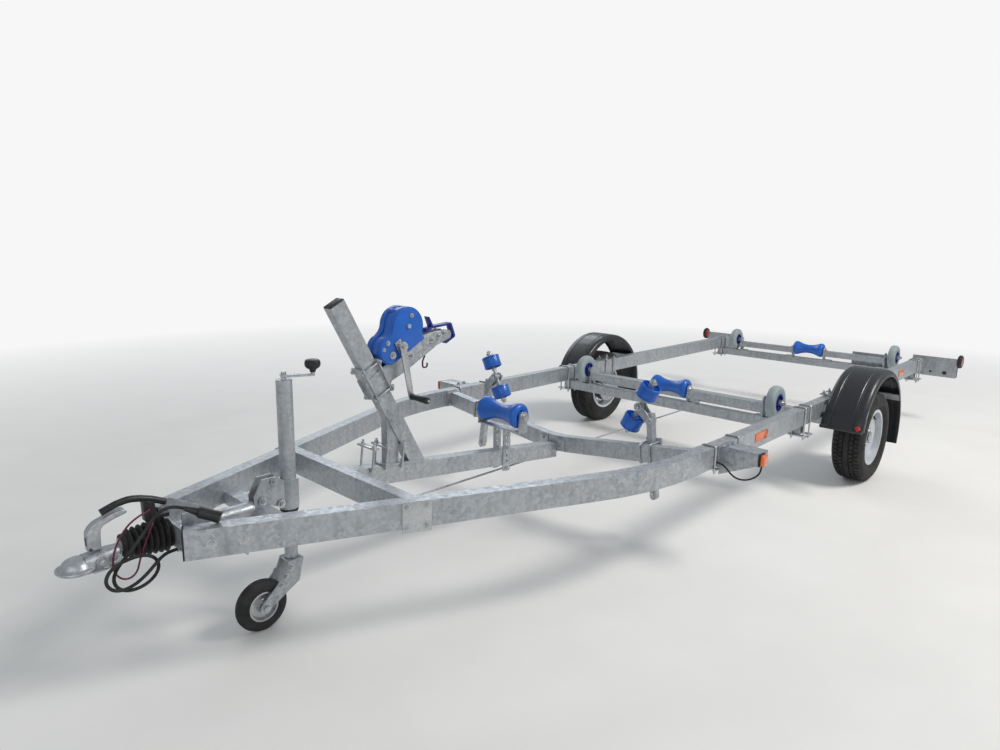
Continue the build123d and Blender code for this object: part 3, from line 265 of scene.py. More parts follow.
def zinc_finish(name, light, dark, crystal=84.0, metallic=0.62, roughness=(0.30, 0.54)):
    """Hot-dip galvanizing: a mosaic of crystals, clouds and drawn-out drips."""
    material, tree, shader, place = material_tree(name)
    crystals = tree.nodes.new("ShaderNodeTexVoronoi")
    crystals.inputs["Scale"].default_value = crystal
    crystals.inputs["Randomness"].default_value = 1.0
    tree.links.new(place, crystals.inputs["Vector"])
    tone = tree.nodes.new("ShaderNodeSeparateColor")
    tree.links.new(crystals.outputs["Color"], tone.inputs["Color"])
    mosaic = mixed(tree, tone.outputs["Red"], dark, light)
    clouds = between(tree, cloud(tree, place, 7.0, 5.0, 0.6), 0.0, 0.62)
    veil = mixed(tree, clouds, mosaic, darker(light, 0.92))
    streaks = cloud(tree, stretched(tree, place, (9, 9, 2.2)), 3.4, 6.0, 0.4)
    drips = between(tree, streaks, 0.0, 0.50, 0.50, 0.74)
    tree.links.new(mixed(tree, drips, veil, darker(dark, 0.72)), shader.inputs["Base Color"])
    tree.links.new(
        between(tree, tone.outputs["Green"], *roughness, 0.0, 1.0), shader.inputs["Roughness"]
    )
    shader.inputs["Metallic"].default_value = metallic
    raised(tree, shader, cloud(tree, place, 210.0, 3.0), 0.10, 0.0006)
    return material


def moulded_finish(name, colour, roughness, grain=340.0, relief=0.06, coat=0.0, wear=0.18):
    """Moulded plastic or painted sheet: even colour with faint clouds, scuffs and grain."""
    material, tree, shader, place = material_tree(name)
    clouds = between(tree, cloud(tree, place, 14.0, 5.0), 0.0, 1.0)
    base = mixed(tree, clouds, darker(colour, 0.86), colour)
    pale = tuple(min(1.0, value + 0.10) for value in colour)
    scratches = cloud(tree, stretched(tree, place, (30, 55, 30)), 1.6, 8.0, 0.5)
    scuffs = between(tree, scratches, 0.0, wear, 0.56, 0.72)
    tree.links.new(mixed(tree, scuffs, base, pale), shader.inputs["Base Color"])
    gloss = between(tree, cloud(tree, place, 38.0, 4.0), roughness - 0.06, roughness + 0.10)
    tree.links.new(gloss, shader.inputs["Roughness"])
    shader.inputs["Coat Weight"].default_value = coat
    raised(tree, shader, cloud(tree, place, grain, 2.0), relief, 0.0006)
    return material


def rubber_finish(name, colour, roughness=0.72, dust=0.12):
    """Matt rubber with a little dust in its clouds."""
    material, tree, shader, place = material_tree(name)
    clouds = between(tree, cloud(tree, place, 22.0, 6.0), 0.0, dust)
    tree.links.new(mixed(tree, clouds, colour, (0.16, 0.15, 0.135)), shader.inputs["Base Color"])
    grain = cloud(tree, place, 260.0, 4.0)
    tree.links.new(
        between(tree, grain, roughness - 0.08, roughness + 0.12), shader.inputs["Roughness"]
    )
    shader.inputs["Specular IOR Level"].default_value = 0.35
    raised(tree, shader, grain, 0.12, 0.0006)
    return material


def lens_finish(name, colour, roughness=0.16):
    """Coloured lamp lens with fine ribs."""
    material, tree, shader, place = material_tree(name)
    ribs = tree.nodes.new("ShaderNodeTexWave")
    ribs.inputs["Scale"].default_value = 48.0
    ribs.inputs["Distortion"].default_value = 0.0
    tree.links.new(place, ribs.inputs["Vector"])
    base = mixed(tree, ribs.outputs["Fac"], darker(colour, 0.62), colour)
    tree.links.new(base, shader.inputs["Base Color"])
    glow = between(tree, cloud(tree, place, 60.0, 3.0), roughness, roughness + 0.08)
    tree.links.new(glow, shader.inputs["Roughness"])
    shader.inputs["Coat Weight"].default_value = 0.6
    shader.inputs["Coat Roughness"].default_value = 0.05
    raised(tree, shader, ribs.outputs["Fac"], 0.25, 0.001)
    return material


def floor_finish(name, colour):
    """Pale even floor that runs out into the white of the background."""
    material, tree, shader, place = material_tree(name)
    clouds = between(tree, cloud(tree, place, 3.0, 6.0), 0.0, 1.0)
    tree.links.new(mixed(tree, clouds, darker(colour, 0.97), colour), shader.inputs["Base Color"])
    shader.inputs["Roughness"].default_value = 0.85
    raised(tree, shader, cloud(tree, place, 120.0, 4.0), 0.05, 0.001)
    distance = tree.nodes.new("ShaderNodeVectorMath")
    distance.operation = "LENGTH"
    tree.links.new(place, distance.inputs[0])
    far = between(tree, distance.outputs["Value"], 0.0, 1.0, 3.4, 8.5)
    rays = tree.nodes.new("ShaderNodeLightPath")
    seen = tree.nodes.new("ShaderNodeMath")
    seen.operation = "MULTIPLY"
    tree.links.new(far, seen.inputs[0])
    tree.links.new(rays.outputs["Is Camera Ray"], seen.inputs[1])
    white = tree.nodes.new("ShaderNodeEmission")
    white.inputs["Color"].default_value = (0.93, 0.93, 0.93, 1)
    join = tree.nodes.new("ShaderNodeMixShader")
    tree.links.new(seen.outputs["Value"], join.inputs["Fac"])
    tree.links.new(shader.outputs["BSDF"], join.inputs[1])
    tree.links.new(white.outputs["Emission"], join.inputs[2])
    output = next(node for node in tree.nodes if node.type == "OUTPUT_MATERIAL")
    tree.links.new(join.outputs["Shader"], output.inputs["Surface"])
    return material


FINISHES = {
    "galvanized": lambda name, c: zinc_finish(name, c.zinc_light, c.zinc_dark),
    "bright_zinc": lambda name, c: zinc_finish(
        name, (0.62, 0.63, 0.64), (0.46, 0.475, 0.49),
        crystal=320.0, metallic=0.85, roughness=(0.26, 0.42)
    ),
    "rim_silver": lambda name, c: zinc_finish(
        name, c.rim_silver, darker(c.rim_silver, 0.93),
        crystal=900.0, metallic=0.45, roughness=(0.30, 0.40)
    ),
    "dark_steel": lambda name, c: moulded_finish(
        name, (0.045, 0.030, 0.026), 0.45, grain=200.0, relief=0.2
    ),
    "cast_iron": lambda name, c: moulded_finish(
        name, (0.10, 0.10, 0.105), 0.62, grain=160.0, relief=0.3
    ),
    "roller_blue": lambda name, c: moulded_finish(
        name, c.roller_blue, 0.34, grain=300.0, relief=0.05, coat=0.15, wear=0.07
    ),
    "hub_blue": lambda name, c: moulded_finish(name, c.hub_blue, 0.36, grain=300.0, relief=0.05),
    "guard_black": lambda name, c: moulded_finish(
        name, c.guard_black, 0.40, grain=420.0, relief=0.10, coat=0.2, wear=0.06
    ),
    "grip_black": lambda name, c: moulded_finish(
        name, (0.012, 0.012, 0.013), 0.44, grain=500.0, relief=0.10
    ),
    "cable_red": lambda name, c: moulded_finish(name, c.cable_red, 0.34, grain=700.0, relief=0.05),
    "ring_grey": lambda name, c: rubber_finish(name, c.ring_grey, roughness=0.58, dust=0.25),
    "rubber_black": lambda name, c: rubber_finish(name, c.rubber_black),
    "lens_red": lambda name, c: lens_finish(name, c.lens_red),
    "lens_amber": lambda name, c: lens_finish(name, c.lens_amber),
}


def finish(name):
    """One of the trailer's finishes, made when it is first asked for."""
    material = bpy.data.materials.get(name)
    return material or FINISHES[name](name, bpy.context.scene.trailer_colours)


def dress(node, finish_name):
    """Gives a node of the frame its finish."""
    target = frame["nodes"][node]
    target.data.materials.clear()
    target.data.materials.append(finish(finish_name))


# Mesh helpers
def facing(direction, place=(0, 0, 0)):
    """Matrix whose Z runs along direction, at a place."""
    turn = Vector(direction).to_track_quat("Z", "Y").to_matrix().to_4x4()
    return Matrix.Translation(place) @ turn


def axes_turn(along, rise, across):
    """Matrix that turns X, Y and Z to three axes."""
    return Matrix((along, rise, across)).transposed().to_4x4()


def axes_matrix(place, along, rise, across):
    """Matrix of three axes at a place."""
    return Matrix.Translation(place) @ axes_turn(along, rise, across)


def add_piece(name, mesh_data, body, finish_names, sharp=32, replaced=()):
    """Turns a bmesh into an object that rides on a body."""
    bmesh.ops.remove_doubles(mesh_data, verts=mesh_data.verts, dist=0.00002)
    bmesh.ops.recalc_face_normals(mesh_data, faces=mesh_data.faces)
    mesh = bpy.data.meshes.new(name)
    mesh_data.to_mesh(mesh)
    mesh_data.free()
    for finish_name in finish_names:
        mesh.materials.append(finish(finish_name))
    mesh.shade_smooth()
    mesh.set_sharp_from_angle(angle=radians(sharp))
    piece = bpy.data.objects.new(name, mesh)
    bpy.context.scene.collection.objects.link(piece)
    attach(piece, body)
    if replaced:
        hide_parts(*replaced)
    return piece


def shared_faces(verts, material):
    """Faces of new vertices, given a material."""
    faces = list({face for vert in verts for face in vert.link_faces})
    for face in faces:
        face.material_index = material
    return faces


def turned(mesh_data, centre, axis, outward, outline, steps, closed=True, arc=2 * pi, material=0):
    """Spins an outline of (along the axis, radius) pairs round an axis through centre."""
    centre = Vector(centre)
    known = set(mesh_data.faces)
    verts = [
        mesh_data.verts.new(centre + axis * along + outward * radius) for along, radius in outline
    ]
    pairs = list(zip(verts, verts[1:]))
    if closed:
        pairs.append((verts[-1], verts[0]))
    edges = [mesh_data.edges.new(pair) for pair in pairs]
    bmesh.ops.spin(
        mesh_data,
        geom=verts + edges,
        cent=centre,
        axis=axis,
        angle=arc,
        steps=steps,
        use_merge=abs(arc) == 2 * pi,
        use_duplicate=False,
    )
    made = [face for face in mesh_data.faces if face not in known]
    for face in made:
        face.material_index = material
    return made


def eased(mesh_data, edges, width, segments=2):
    """Bevels edges."""
    bmesh.ops.bevel(
        mesh_data,
        geom=edges,
        offset=width,
        affect="EDGES",
        segments=segments,
        profile=0.5,
        material=-1,
        clamp_overlap=True,
    )


def block(mesh_data, middle, size, turn=None, bevel=0.0, material=0, segments=2):
    """A block with its edges eased."""
    matrix = Matrix.Translation(middle) @ (turn or Matrix()) @ Matrix.Diagonal((*size, 1))
    verts = bmesh.ops.create_cube(mesh_data, size=1, matrix=matrix)["verts"]
    faces = shared_faces(verts, material)
    if bevel:
        eased(mesh_data, list({edge for face in faces for edge in face.edges}), bevel, segments)


def rod(mesh_data, start, end, radius, segments=20, material=0, bevel=0.0, tip=None):
    """A round or many-sided bar between two points."""
    start = Vector(start)
    span = Vector(end) - start
    verts = bmesh.ops.create_cone(
        mesh_data,
        cap_ends=True,
        cap_tris=False,
        segments=segments,
        radius1=radius,
        radius2=radius if tip is None else tip,
        depth=span.length,
        matrix=facing(span, start + span / 2),
    )["verts"]
    faces = shared_faces(verts, material)
    if bevel:
        rims = {edge for face in faces if len(face.verts) > 4 for edge in face.edges}
        eased(mesh_data, list(rims), bevel)


def bolt(mesh_data, place, direction, across, thread=0.0, material=0):
    """A hexagon head or nut on a washer, with a length of thread standing out of it."""
    place = Vector(place)
    direction = Vector(direction).normalized()
    washer_top = place + direction * across * 0.12
    crown = washer_top + direction * across * 0.6
    corner = across * 0.577
    rod(mesh_data, place - direction * 0.001, washer_top, across * 0.92, 20, material)
    rod(mesh_data, washer_top, crown, corner, 6, material, across * 0.05)
    if thread:
        rod(mesh_data, crown, crown + direction * thread, across * 0.3, 12, material, across * 0.04)


def plate(mesh_data, outline, thickness, matrix, material=0, bevel=0.0, segments=2):
    """A flat plate: an outline in the matrix's X and Y, raised along its Z."""
    verts = [mesh_data.verts.new(matrix @ Vector((x, y, 0))) for x, y in outline]
    base = mesh_data.faces.new(verts)
    lifted = bmesh.ops.extrude_face_region(mesh_data, geom=[base])["geom"]
    top = [part for part in lifted if isinstance(part, bmesh.types.BMVert)]
    rise = matrix.to_3x3() @ Vector((0, 0, thickness))
    bmesh.ops.translate(mesh_data, verts=top, vec=rise)
    faces = shared_faces(verts + top, material)
    if bevel:
        flats = [face for face in faces if len(face.verts) == len(outline)]
        eased(mesh_data, list({edge for face in flats for edge in face.edges}), bevel, segments)


def mirrored(mesh_data):
    """Adds the other side's copy of everything in the mesh."""
    whole = mesh_data.verts[:] + mesh_data.edges[:] + mesh_data.faces[:]
    bmesh.ops.mirror(mesh_data, geom=whole, matrix=Matrix.Identity(4), merge_dist=-1.0, axis="Y")


def drawn_on(mesh_data, edges, step):
    """Draws a ring of edges out along a step, and returns the new ring."""
    made = bmesh.ops.extrude_edge_only(mesh_data, edges=edges)["geom"]
    verts = [part for part in made if isinstance(part, bmesh.types.BMVert)]
    bmesh.ops.translate(mesh_data, verts=verts, vec=step)
    fresh = set(verts)
    return [
        part for part in made
        if isinstance(part, bmesh.types.BMEdge) and fresh.issuperset(part.verts)
    ]


def bent_rod(mesh_data, points, radius, bend, segments=14, material=0):
    """A round rod through points, bent to an arc at each corner."""
    known = set(mesh_data.faces)
    points = [Vector(point) for point in points]
    lines = [(after - before).normalized() for before, after in zip(points, points[1:])]
    start = facing(lines[0], points[0])
    ring = bmesh.ops.create_circle(
        mesh_data, cap_ends=True, segments=segments, radius=radius, matrix=start
    )
    edges = list({edge for vert in ring["verts"] for edge in vert.link_edges})
    place = points[0]
    for corner, arriving, leaving in zip(points[1:], lines, lines[1:]):
        turn = arriving.angle(leaving)
        cut = bend * tan(turn / 2)
        edges = drawn_on(mesh_data, edges, corner - arriving * cut - place)
        axis = arriving.cross(leaving).normalized()
        verts = list({vert for edge in edges for vert in edge.verts})
        last = bmesh.ops.spin(
            mesh_data,
            geom=verts + edges,
            cent=corner - arriving * cut + axis.cross(arriving) * bend,
            axis=axis,
            angle=turn,
            steps=6,
            use_duplicate=False,
        )["geom_last"]
        edges = [part for part in last if isinstance(part, bmesh.types.BMEdge)]
        place = corner + leaving * cut
    edges = drawn_on(mesh_data, edges, points[-1] - place)
    bmesh.ops.holes_fill(mesh_data, edges=edges, sides=0)
    for face in mesh_data.faces:
        if face not in known:
            face.material_index = material


def saddle_bolt(mesh_data, middle, across, rise, width, height, radius=0.0048):
    """A U bolt over a section, closed under it by a clamp plate and two nuts."""
    middle = Vector(middle)
    along = across.cross(rise)
    half = width / 2 + radius
    seat = height / 2 + SADDLE_BAR
    top = height / 2 + radius
    thread_end = seat + 0.020
    line = [
        middle + across * half - rise * thread_end,
        middle + across * half + rise * top,
        middle - across * half + rise * top,
        middle - across * half - rise * thread_end,
    ]
    bent_rod(mesh_data, line, radius, 0.011)
    bar = (0.030, width + 0.048, SADDLE_BAR)
    block(
        mesh_data, middle - rise * (height + SADDLE_BAR) / 2,
        bar, axes_turn(along, across, rise), 0.0015
    )
    for side in (-1, 1):
        bolt(mesh_data, middle + across * side * half - rise * seat, -rise, 0.0155)


def arc_points(centre, radius, start, end, count):
    """Points of an arc between two angles in degrees."""
    turns = [radians(start + (end - start) * step / (count - 1)) for step in range(count)]
    return [(centre[0] + radius * cos(turn), centre[1] + radius * sin(turn)) for turn in turns]


# Cords
def set_spline(curve, route, steps):
    """Gives a curve one open NURBS spline through a route's control points."""
    curve.dimensions = "3D"
    spline = curve.splines.new("NURBS")
    spline.points.add(len(route) - 1)
    for point, place in zip(spline.points, route):
        point.co = (*place, 1)
    spline.order_u = 3
    spline.use_endpoint_u = True
    spline.resolution_u = steps


def line_length(route):
    """Length of a route's smooth line."""
    curve = bpy.data.curves.new("line", "CURVE")
    set_spline(curve, route, 24)
    holder = bpy.data.objects.new("line", curve)
    points = [vert.co.copy() for vert in holder.to_mesh().vertices]
    holder.to_mesh_clear()
    bpy.data.objects.remove(holder)
    bpy.data.curves.remove(curve)
    return sum((after - before).length for before, after in zip(points, points[1:]))


def hang_cord(name, route, diameter, finish_name, slot, **facts):
    """A round cord along a route, in place of the frame's node of that name; the length of its line
    is worked out but not kept.
    """
    curve = bpy.data.curves.new(name, "CURVE")
    set_spline(curve, route, 10)
    curve.bevel_depth = diameter / 2
    curve.bevel_resolution = 5
    curve.use_fill_caps = True
    curve.materials.append(finish(finish_name))
    piece = bpy.data.objects.new(name + "_line", curve)
    bpy.context.scene.collection.objects.link(piece)
    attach(piece, "chassis")
    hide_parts(name)
    round(line_length(route), 3)


LAMP_CABLE_ROUTE = (
    (2.8595, 0.089, 0.462), (2.888, 0.089, 0.462), (2.915, 0.092, 0.450), (2.940, 0.094, 0.428),
    (2.966, 0.094, 0.406), (2.996, 0.093, 0.388), (3.030, 0.092, 0.380), (3.061, 0.091, 0.390),
    (3.078, 0.089, 0.418), (3.068, 0.087, 0.448), (3.040, 0.085, 0.467), (3.003, 0.083, 0.474),
    (2.964, 0.081, 0.474), (2.931, 0.080, 0.459), (2.914, 0.079, 0.429), (2.922, 0.078, 0.397),
    (2.948, 0.077, 0.374), (2.982, 0.076, 0.363), (3.016, 0.075, 0.366), (3.042, 0.074, 0.385),
    (3.051, 0.073, 0.415), (3.040, 0.073, 0.445), (3.018, 0.073, 0.470), (2.992, 0.073, 0.496),
    (2.966, 0.073, 0.524), (2.942, 0.073, 0.553), (2.920, 0.074, 0.583), (2.893, 0.077, 0.605),
    (2.8561, 0.0855, 0.6105), (2.832, 0.104, 0.6005),
)
BREAKAWAY_ROUTE = (
    (2.914, 0.014, 0.600), (2.914, 0.037, 0.600), (2.931, 0.053, 0.601), (2.958, 0.061, 0.597),
    (2.988, 0.062, 0.580), (3.010, 0.063, 0.556), (3.028, 0.063, 0.526), (3.040, 0.062, 0.492),
    (3.045, 0.061, 0.458), (3.039, 0.060, 0.426), (3.020, 0.058, 0.401), (2.994, 0.057, 0.396),
    (2.974, 0.058, 0.414), (2.966, 0.060, 0.446), (2.956, 0.062, 0.478), (2.942, 0.061, 0.510),
    (2.925, 0.056, 0.539), (2.911, 0.045, 0.559), (2.905, 0.029, 0.567), (2.905, 0.014, 0.567),
)
MARKER_LEAD_ROUTE = (
    (0.712, 0.900, 0.470), (0.712, 0.928, 0.470), (0.714, 0.957, 0.452), (0.714, 0.979, 0.430),
    (0.709, 1.006, 0.415), (0.701, 1.036, 0.413), (0.688, 1.064, 0.422), (0.675, 1.086, 0.440),
    (0.667, 1.098, 0.464), (0.667, 1.098, 0.488),
)


class HangCords(bpy.types.Operator):
    """Lamp cable with its plug, breakaway cable and marker lead"""

    bl_idname = "trailer.cords"
    bl_label = "Cords"

    def execute(self, context):
        hang_cord(
            "lamp_cable",
            LAMP_CABLE_ROUTE,
            0.011,
            "rubber_black",
            "black_rubber",
            far_end="plug",
            stiffness="limp",
            lay="loose",
            with_pieces=[frame["nodes"]["lamp_plug"]],
        )
        hang_cord(
            "breakaway_cable",
            BREAKAWAY_ROUTE,
            0.006,
            "cable_red",
            "red_cable",
            far_end="object",
            stiffness="medium",
            lay="hanging",
        )
        hang_cord(
            "marker_lead",
            MARKER_LEAD_ROUTE,
            0.008,
            "rubber_black",
            "black_rubber",
            far_end="object",
            stiffness="medium",
            lay="hanging",
        )
        return {"FINISHED"}


# Steel frame
ZINC_NODES = (
    "rails", "crossbars", "keel_beam", "vee_crossbar", "cradles", "keel_stand",
    "rocking_arm_left", "rocking_arm_right", "winch_stand", "overrun_housing", "brake_rod",
    "jockey_clamp", "jockey_sleeve", "jockey_leg", "jockey_fork", "axle_tube", "axle_arms",
    "mudguard_stays", "lamp_boards", "number_plate",
)


class FinishFrame(bpy.types.Operator):
    """Galvanize the steel and give the plain nodes their finishes"""

    bl_idname = "trailer.frame"
    bl_label = "Steel frame"

    def execute(self, context):
        for node in ZINC_NODES:
            dress(node, "galvanized")
        for hand in HANDS:
            dress("hub_" + hand, "cast_iron")
            dress("rim_" + hand, "rim_silver")
        dress("overrun_shaft", "bright_zinc")
        dress("jockey_rim", "bright_zinc")
        dress("jockey_tyre", "rubber_black")
        dress("lamp_plug", "grip_black")
        return {"FINISHED"}


# End caps and fasteners
def drawbar_frame(side):
    """Directions along and out of a rail on the drawbar, and the middle of its front end."""
    along = Vector((cos(DRAWBAR_TURN), -side * sin(DRAWBAR_TURN), 0))
    out = Vector((sin(DRAWBAR_TURN), side * cos(DRAWBAR_TURN), 0))
    return along, out, Vector((DRAWBAR_NOSE[0], side * DRAWBAR_NOSE[1], rail_level))


def drawbar_face(x, side):
    """Point on a rail's outer face on the drawbar, halfway up."""
    along, out, nose = drawbar_frame(side)
    return nose - along * ((nose.x - x) / along.x) + out * RAIL_WIDTH / 2


def stand_frame():
    """Directions up and across the winch stand, and the middle of its top."""
    matrix = winch_arm_matrix()
    rise = matrix.to_3x3() @ Vector((0, 1, 0))
    across = matrix.to_3x3() @ Vector((1, 0, 0))
    return rise, across, matrix.translation + rise * STAND_OVER_ARM


class MakeEndCaps(bpy.types.Operator):
    """Black caps in the ends of the rails and of the winch stand"""

    bl_idname = "trailer.end_caps"
    bl_label = "End caps"

    def execute(self, context):
        cap = 0.006
        rear_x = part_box("end_caps")[0].x + cap / 2
        mesh_data = bmesh.new()
        for side in HANDS.values():
            rail_cap = (cap, RAIL_WIDTH, RAIL_HEIGHT)
            block(mesh_data, (rear_x, side * rail_y, rail_level), rail_cap, None, 0.0022)
            along, out, nose = drawbar_frame(side)
            turn = axes_turn(along, out, Z_AXIS)
            nose += along * cap / 2
            block(mesh_data, nose, rail_cap, turn, 0.0022)
            block(mesh_data, nose + along * 0.0015, (0.004, 0.044, 0.084), turn, 0.0015)
        rise, across, top = stand_frame()
        turn = axes_turn(across, Y_AXIS, rise)
        block(mesh_data, top + rise * cap / 2, (0.070, 0.050, cap), turn, 0.0022)
        add_piece(
            "end_cap_plugs", mesh_data, "chassis", ["grip_black"], 40, ["end_caps"]
        )
        return {"FINISHED"}


def rail_saddles(mesh_data, side):
    """U bolts that hold the cradles, the axle and the outriggers to a rail."""
    cradle, axle = 0.160, 0.125
    for x in (station_x["mid"], station_x["rear"]):
        for offset in (-0.040, 0.040):
            middle = (x + offset, side * rail_y, rail_top - cradle / 2)
            saddle_bolt(mesh_data, middle, Y_AXIS, Z_AXIS, RAIL_WIDTH, cradle)
    for offset in (-0.050, 0.050):
        middle = (box_middle("axle_tube").x + offset, side * rail_y, rail_top - axle / 2)
        saddle_bolt(mesh_data, middle, Y_AXIS, -Z_AXIS, RAIL_WIDTH, axle)
    for x in (0.4945, 0.7305):
        saddle_bolt(
            mesh_data, (x, side * rail_y, rail_level), Y_AXIS, Z_AXIS, RAIL_WIDTH, RAIL_HEIGHT
        )


def crossbar_plate(mesh_data, side):
    """Bolted plate that holds the keel beam's crossbar to a rail on the drawbar."""
    along, out = drawbar_frame(side)[:2]
    face = drawbar_face(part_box("keel_beam")[1].x + 0.025, side)
    turn = axes_turn(along, out, Z_AXIS)
    block(mesh_data, face + out * 0.003 - Z_AXIS * 0.005, (0.110, 0.006, 0.118), turn, 0.0015)
    for x in (-0.038, 0.038):
        for z in (-0.045, 0.036):
            bolt(mesh_data, face + along * x + out * 0.006 + Z_AXIS * z, out, 0.017, 0.004)


def vee_plate(mesh_data, side):
    """Bolted plate that holds the keel beam to the V at the bow."""
    middle = Vector((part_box("keel_beam")[0].x + 0.003, side * 0.056, 0.392))
    block(mesh_data, middle, (0.006, 0.052, 0.062), None, 0.001)
    for z in (-0.017, 0.017):
        bolt(mesh_data, middle + Vector((0.003, side * 0.006, z)), X_AXIS, 0.015, 0.004)


def keel_saddles(mesh_data):
    """U bolts that hold the winch stand and the roller's stand to the sloping keel beam."""
    low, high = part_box("keel_beam")
    slope = (high.z - 0.395) / (high.x - low.x)
    rise = Vector((1, 0, slope)).normalized().cross(Y_AXIS)
    for x in (2.0445, 1.9745, 1.8895):
        top = Vector((x, 0, high.z - (high.x - x) * slope))
        saddle_bolt(mesh_data, top + rise * 0.036, Y_AXIS, -rise, 0.072, 0.088)


class MakeClamps(bpy.types.Operator):
    """U bolts and clamp plates that hold beams, axle, outriggers and winch stand"""

    bl_idname = "trailer.clamps"
    bl_label = "Clamps"

    def execute(self, context):
        mesh_data = bmesh.new()
        for side in HANDS.values():
            rail_saddles(mesh_data, side)
            crossbar_plate(mesh_data, side)
            vee_plate(mesh_data, side)
        keel_saddles(mesh_data)
        add_piece("clamp_bolts", mesh_data, "chassis", ["bright_zinc"], 32, ["clamps"])
        return {"FINISHED"}


# Each bolt is given as its place, direction, width across flats and thread length
def roller_bolts(side, out):
    """Ends of the keel and side rollers' pins, with the bolts in their stands' feet."""
    pin_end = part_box("cradles")[1].y
    yield (station_x["front"], side * 0.143, 0.632), out, 0.030, 0.0
    yield (station_x["front"], side * 0.036, 0.348), out, 0.019, 0.005
    yield (station_x["front"], side * 0.036, 0.455), out, 0.019, 0.005
    for x in (station_x["mid"], station_x["rear"]):
        yield (x, side * 0.143, 0.530), out, 0.024, 0.004
        yield (x, side * (pin_end + 0.0005), 0.545), out, 0.022, 0.005
        yield (x, side * 0.6375, 0.470), -out, 0.017, 0.004


def bow_post_bolts(side):
    """Pivot nuts of the rocking arms, and the bolts through the posts' feet."""
    pivot = joint_place("rocking_arm_left_tilt")[0]
    for end in (-1, 1):
        yield (pivot.x + end * 0.0235, side * pivot.y, pivot.z), X_AXIS * end, 0.024, 0.0
        yield (pivot.x + end * 0.0175, side * 0.6097, 0.245), X_AXIS * end, 0.017, 0.003


def outrigger_bolts(side, out):
    """Bolts of the brackets between the rails and the outriggers."""
    for x in (-0.038, 0.038):
        for z in (-0.032, 0.032):
            yield (0.7945 + x, side * 0.832, 0.495 + z), -out, 0.017, 0.004
    for z in (0.520, 0.458):
        yield (0.545, side * 0.906, z), out, 0.017, 0.004
    for x in (0.612, 0.660):
        yield (x, side * 0.932, rail_top), Z_AXIS, 0.017, 0.004


def drawbar_bolts(side, out):
    """Bolts of the overrun housing, lamp boards, coupling head and jockey clamp."""
    face_out = drawbar_frame(side)[1]
    for x in (housing_x - 0.070, housing_x - 0.160):
        yield drawbar_face(x, side) - Z_AXIS * 0.002, face_out, 0.019, 0.005
    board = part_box("lamp_boards")[0].x
    for y in (rail_y - 0.011, rail_y + 0.011):
        yield (board + 0.005, side * y, rail_level), X_AXIS, 0.013, 0.003
    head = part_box("coupling_head")[0].x
    for x in (0.022, 0.062):
        yield (head + x, side * (0.0325 + x * 0.09), coupling_level - 0.018), out, 0.017, 0.003
    rear, front = (corner.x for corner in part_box("jockey_clamp"))
    for x, z in ((front - 0.078, 0.585), (front - 0.030, 0.520), (rear + 0.084, 0.490)):
        yield (x, side * 0.030, z), out, 0.017, 0.004


def arm_bolts(side, out):
    """Bolts of the winch arm and of the clamp that holds it on its stand."""
    matrix = winch_arm_matrix()
    along = matrix.to_3x3() @ Vector((1, 0, 0))
    for x, y in ((0.327, 0.003), (0.369, -0.004), (0.400, -0.008)):
        yield matrix @ Vector((x, y, side * 0.030)), out, 0.017, 0.004
    yield matrix @ Vector((0.200, 0.006, side * 0.030)), out, 0.015, 0.003
    for y in ARM_CLAMP_LEVELS:
        for end in (-1, 1):
            yield matrix @ Vector((end * 0.043, y, side * 0.034)), along * end, 0.016, 0.0


def chassis_bolts():
    """Every bolt that stays with the chassis."""
    for side in (-1, 1):
        out = Y_AXIS * side
        yield from roller_bolts(side, out)
        yield from bow_post_bolts(side)
        yield from outrigger_bolts(side, out)
        yield from drawbar_bolts(side, out)
        yield from arm_bolts(side, out)


def plate_screws(mesh_data):
    """Two round-headed screws of the number plate's holder."""
    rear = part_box("number_plate")[0].x
    for y in (0.415, 0.615):
        place = Vector((rear, y, 0.500))
        rod(mesh_data, place - X_AXIS * 0.003, place + X_AXIS * 0.008, 0.0034, 16)
        rod(mesh_data, place, place + X_AXIS * 0.0012, 0.0075, 20, 0, 0.0005)


def rocking_nuts(hand):
    """Nuts at both ends of a rocking arm's rod."""
    pivot = joint_place("rocking_arm_" + hand + "_tilt")[0]
    axis = joint_place("bow_roller_upper_" + hand + "_spin")[1]
    mesh_data = bmesh.new()
    for end in (-1, 1):
        bolt(mesh_data, pivot + axis * end * 0.1435, axis * end, 0.022, 0.005)
    add_piece("rocking_nuts_" + hand, mesh_data, "rocking_arm_" + hand, ["bright_zinc"])


def jockey_nuts():
    """Axle nuts and side bolts of the jockey wheel's fork."""
    hub = joint_place("jockey_wheel_spin")[0]
    mesh_data = bmesh.new()
    for side in (-1, 1):
        out = Y_AXIS * side
        bolt(mesh_data, (hub.x, side * 0.037, hub.z), out, 0.024)
        for x, z in ((-0.110, 0.226), (-0.086, 0.196), (-0.066, 0.166)):
            bolt(mesh_data, (hub.x + x, side * 0.037, z), out, 0.015, 0.003)
    add_piece("jockey_axle_nuts", mesh_data, "jockey_fork", ["bright_zinc"])


class MakeFasteners(bpy.types.Operator):
    """Bolts, nuts and washers of the chassis, of the rocking arms and of the jockey wheel"""

    bl_idname = "trailer.fasteners"
    bl_label = "Fasteners"

    def execute(self, context):
        mesh_data = bmesh.new()
        for place, direction, across, thread in chassis_bolts():
            bolt(mesh_data, place, direction, across, thread)
        plate_screws(mesh_data)
        add_piece("frame_bolts", mesh_data, "chassis", ["bright_zinc"])
        for hand in HANDS:
            rocking_nuts(hand)
        jockey_nuts()
        return {"FINISHED"}


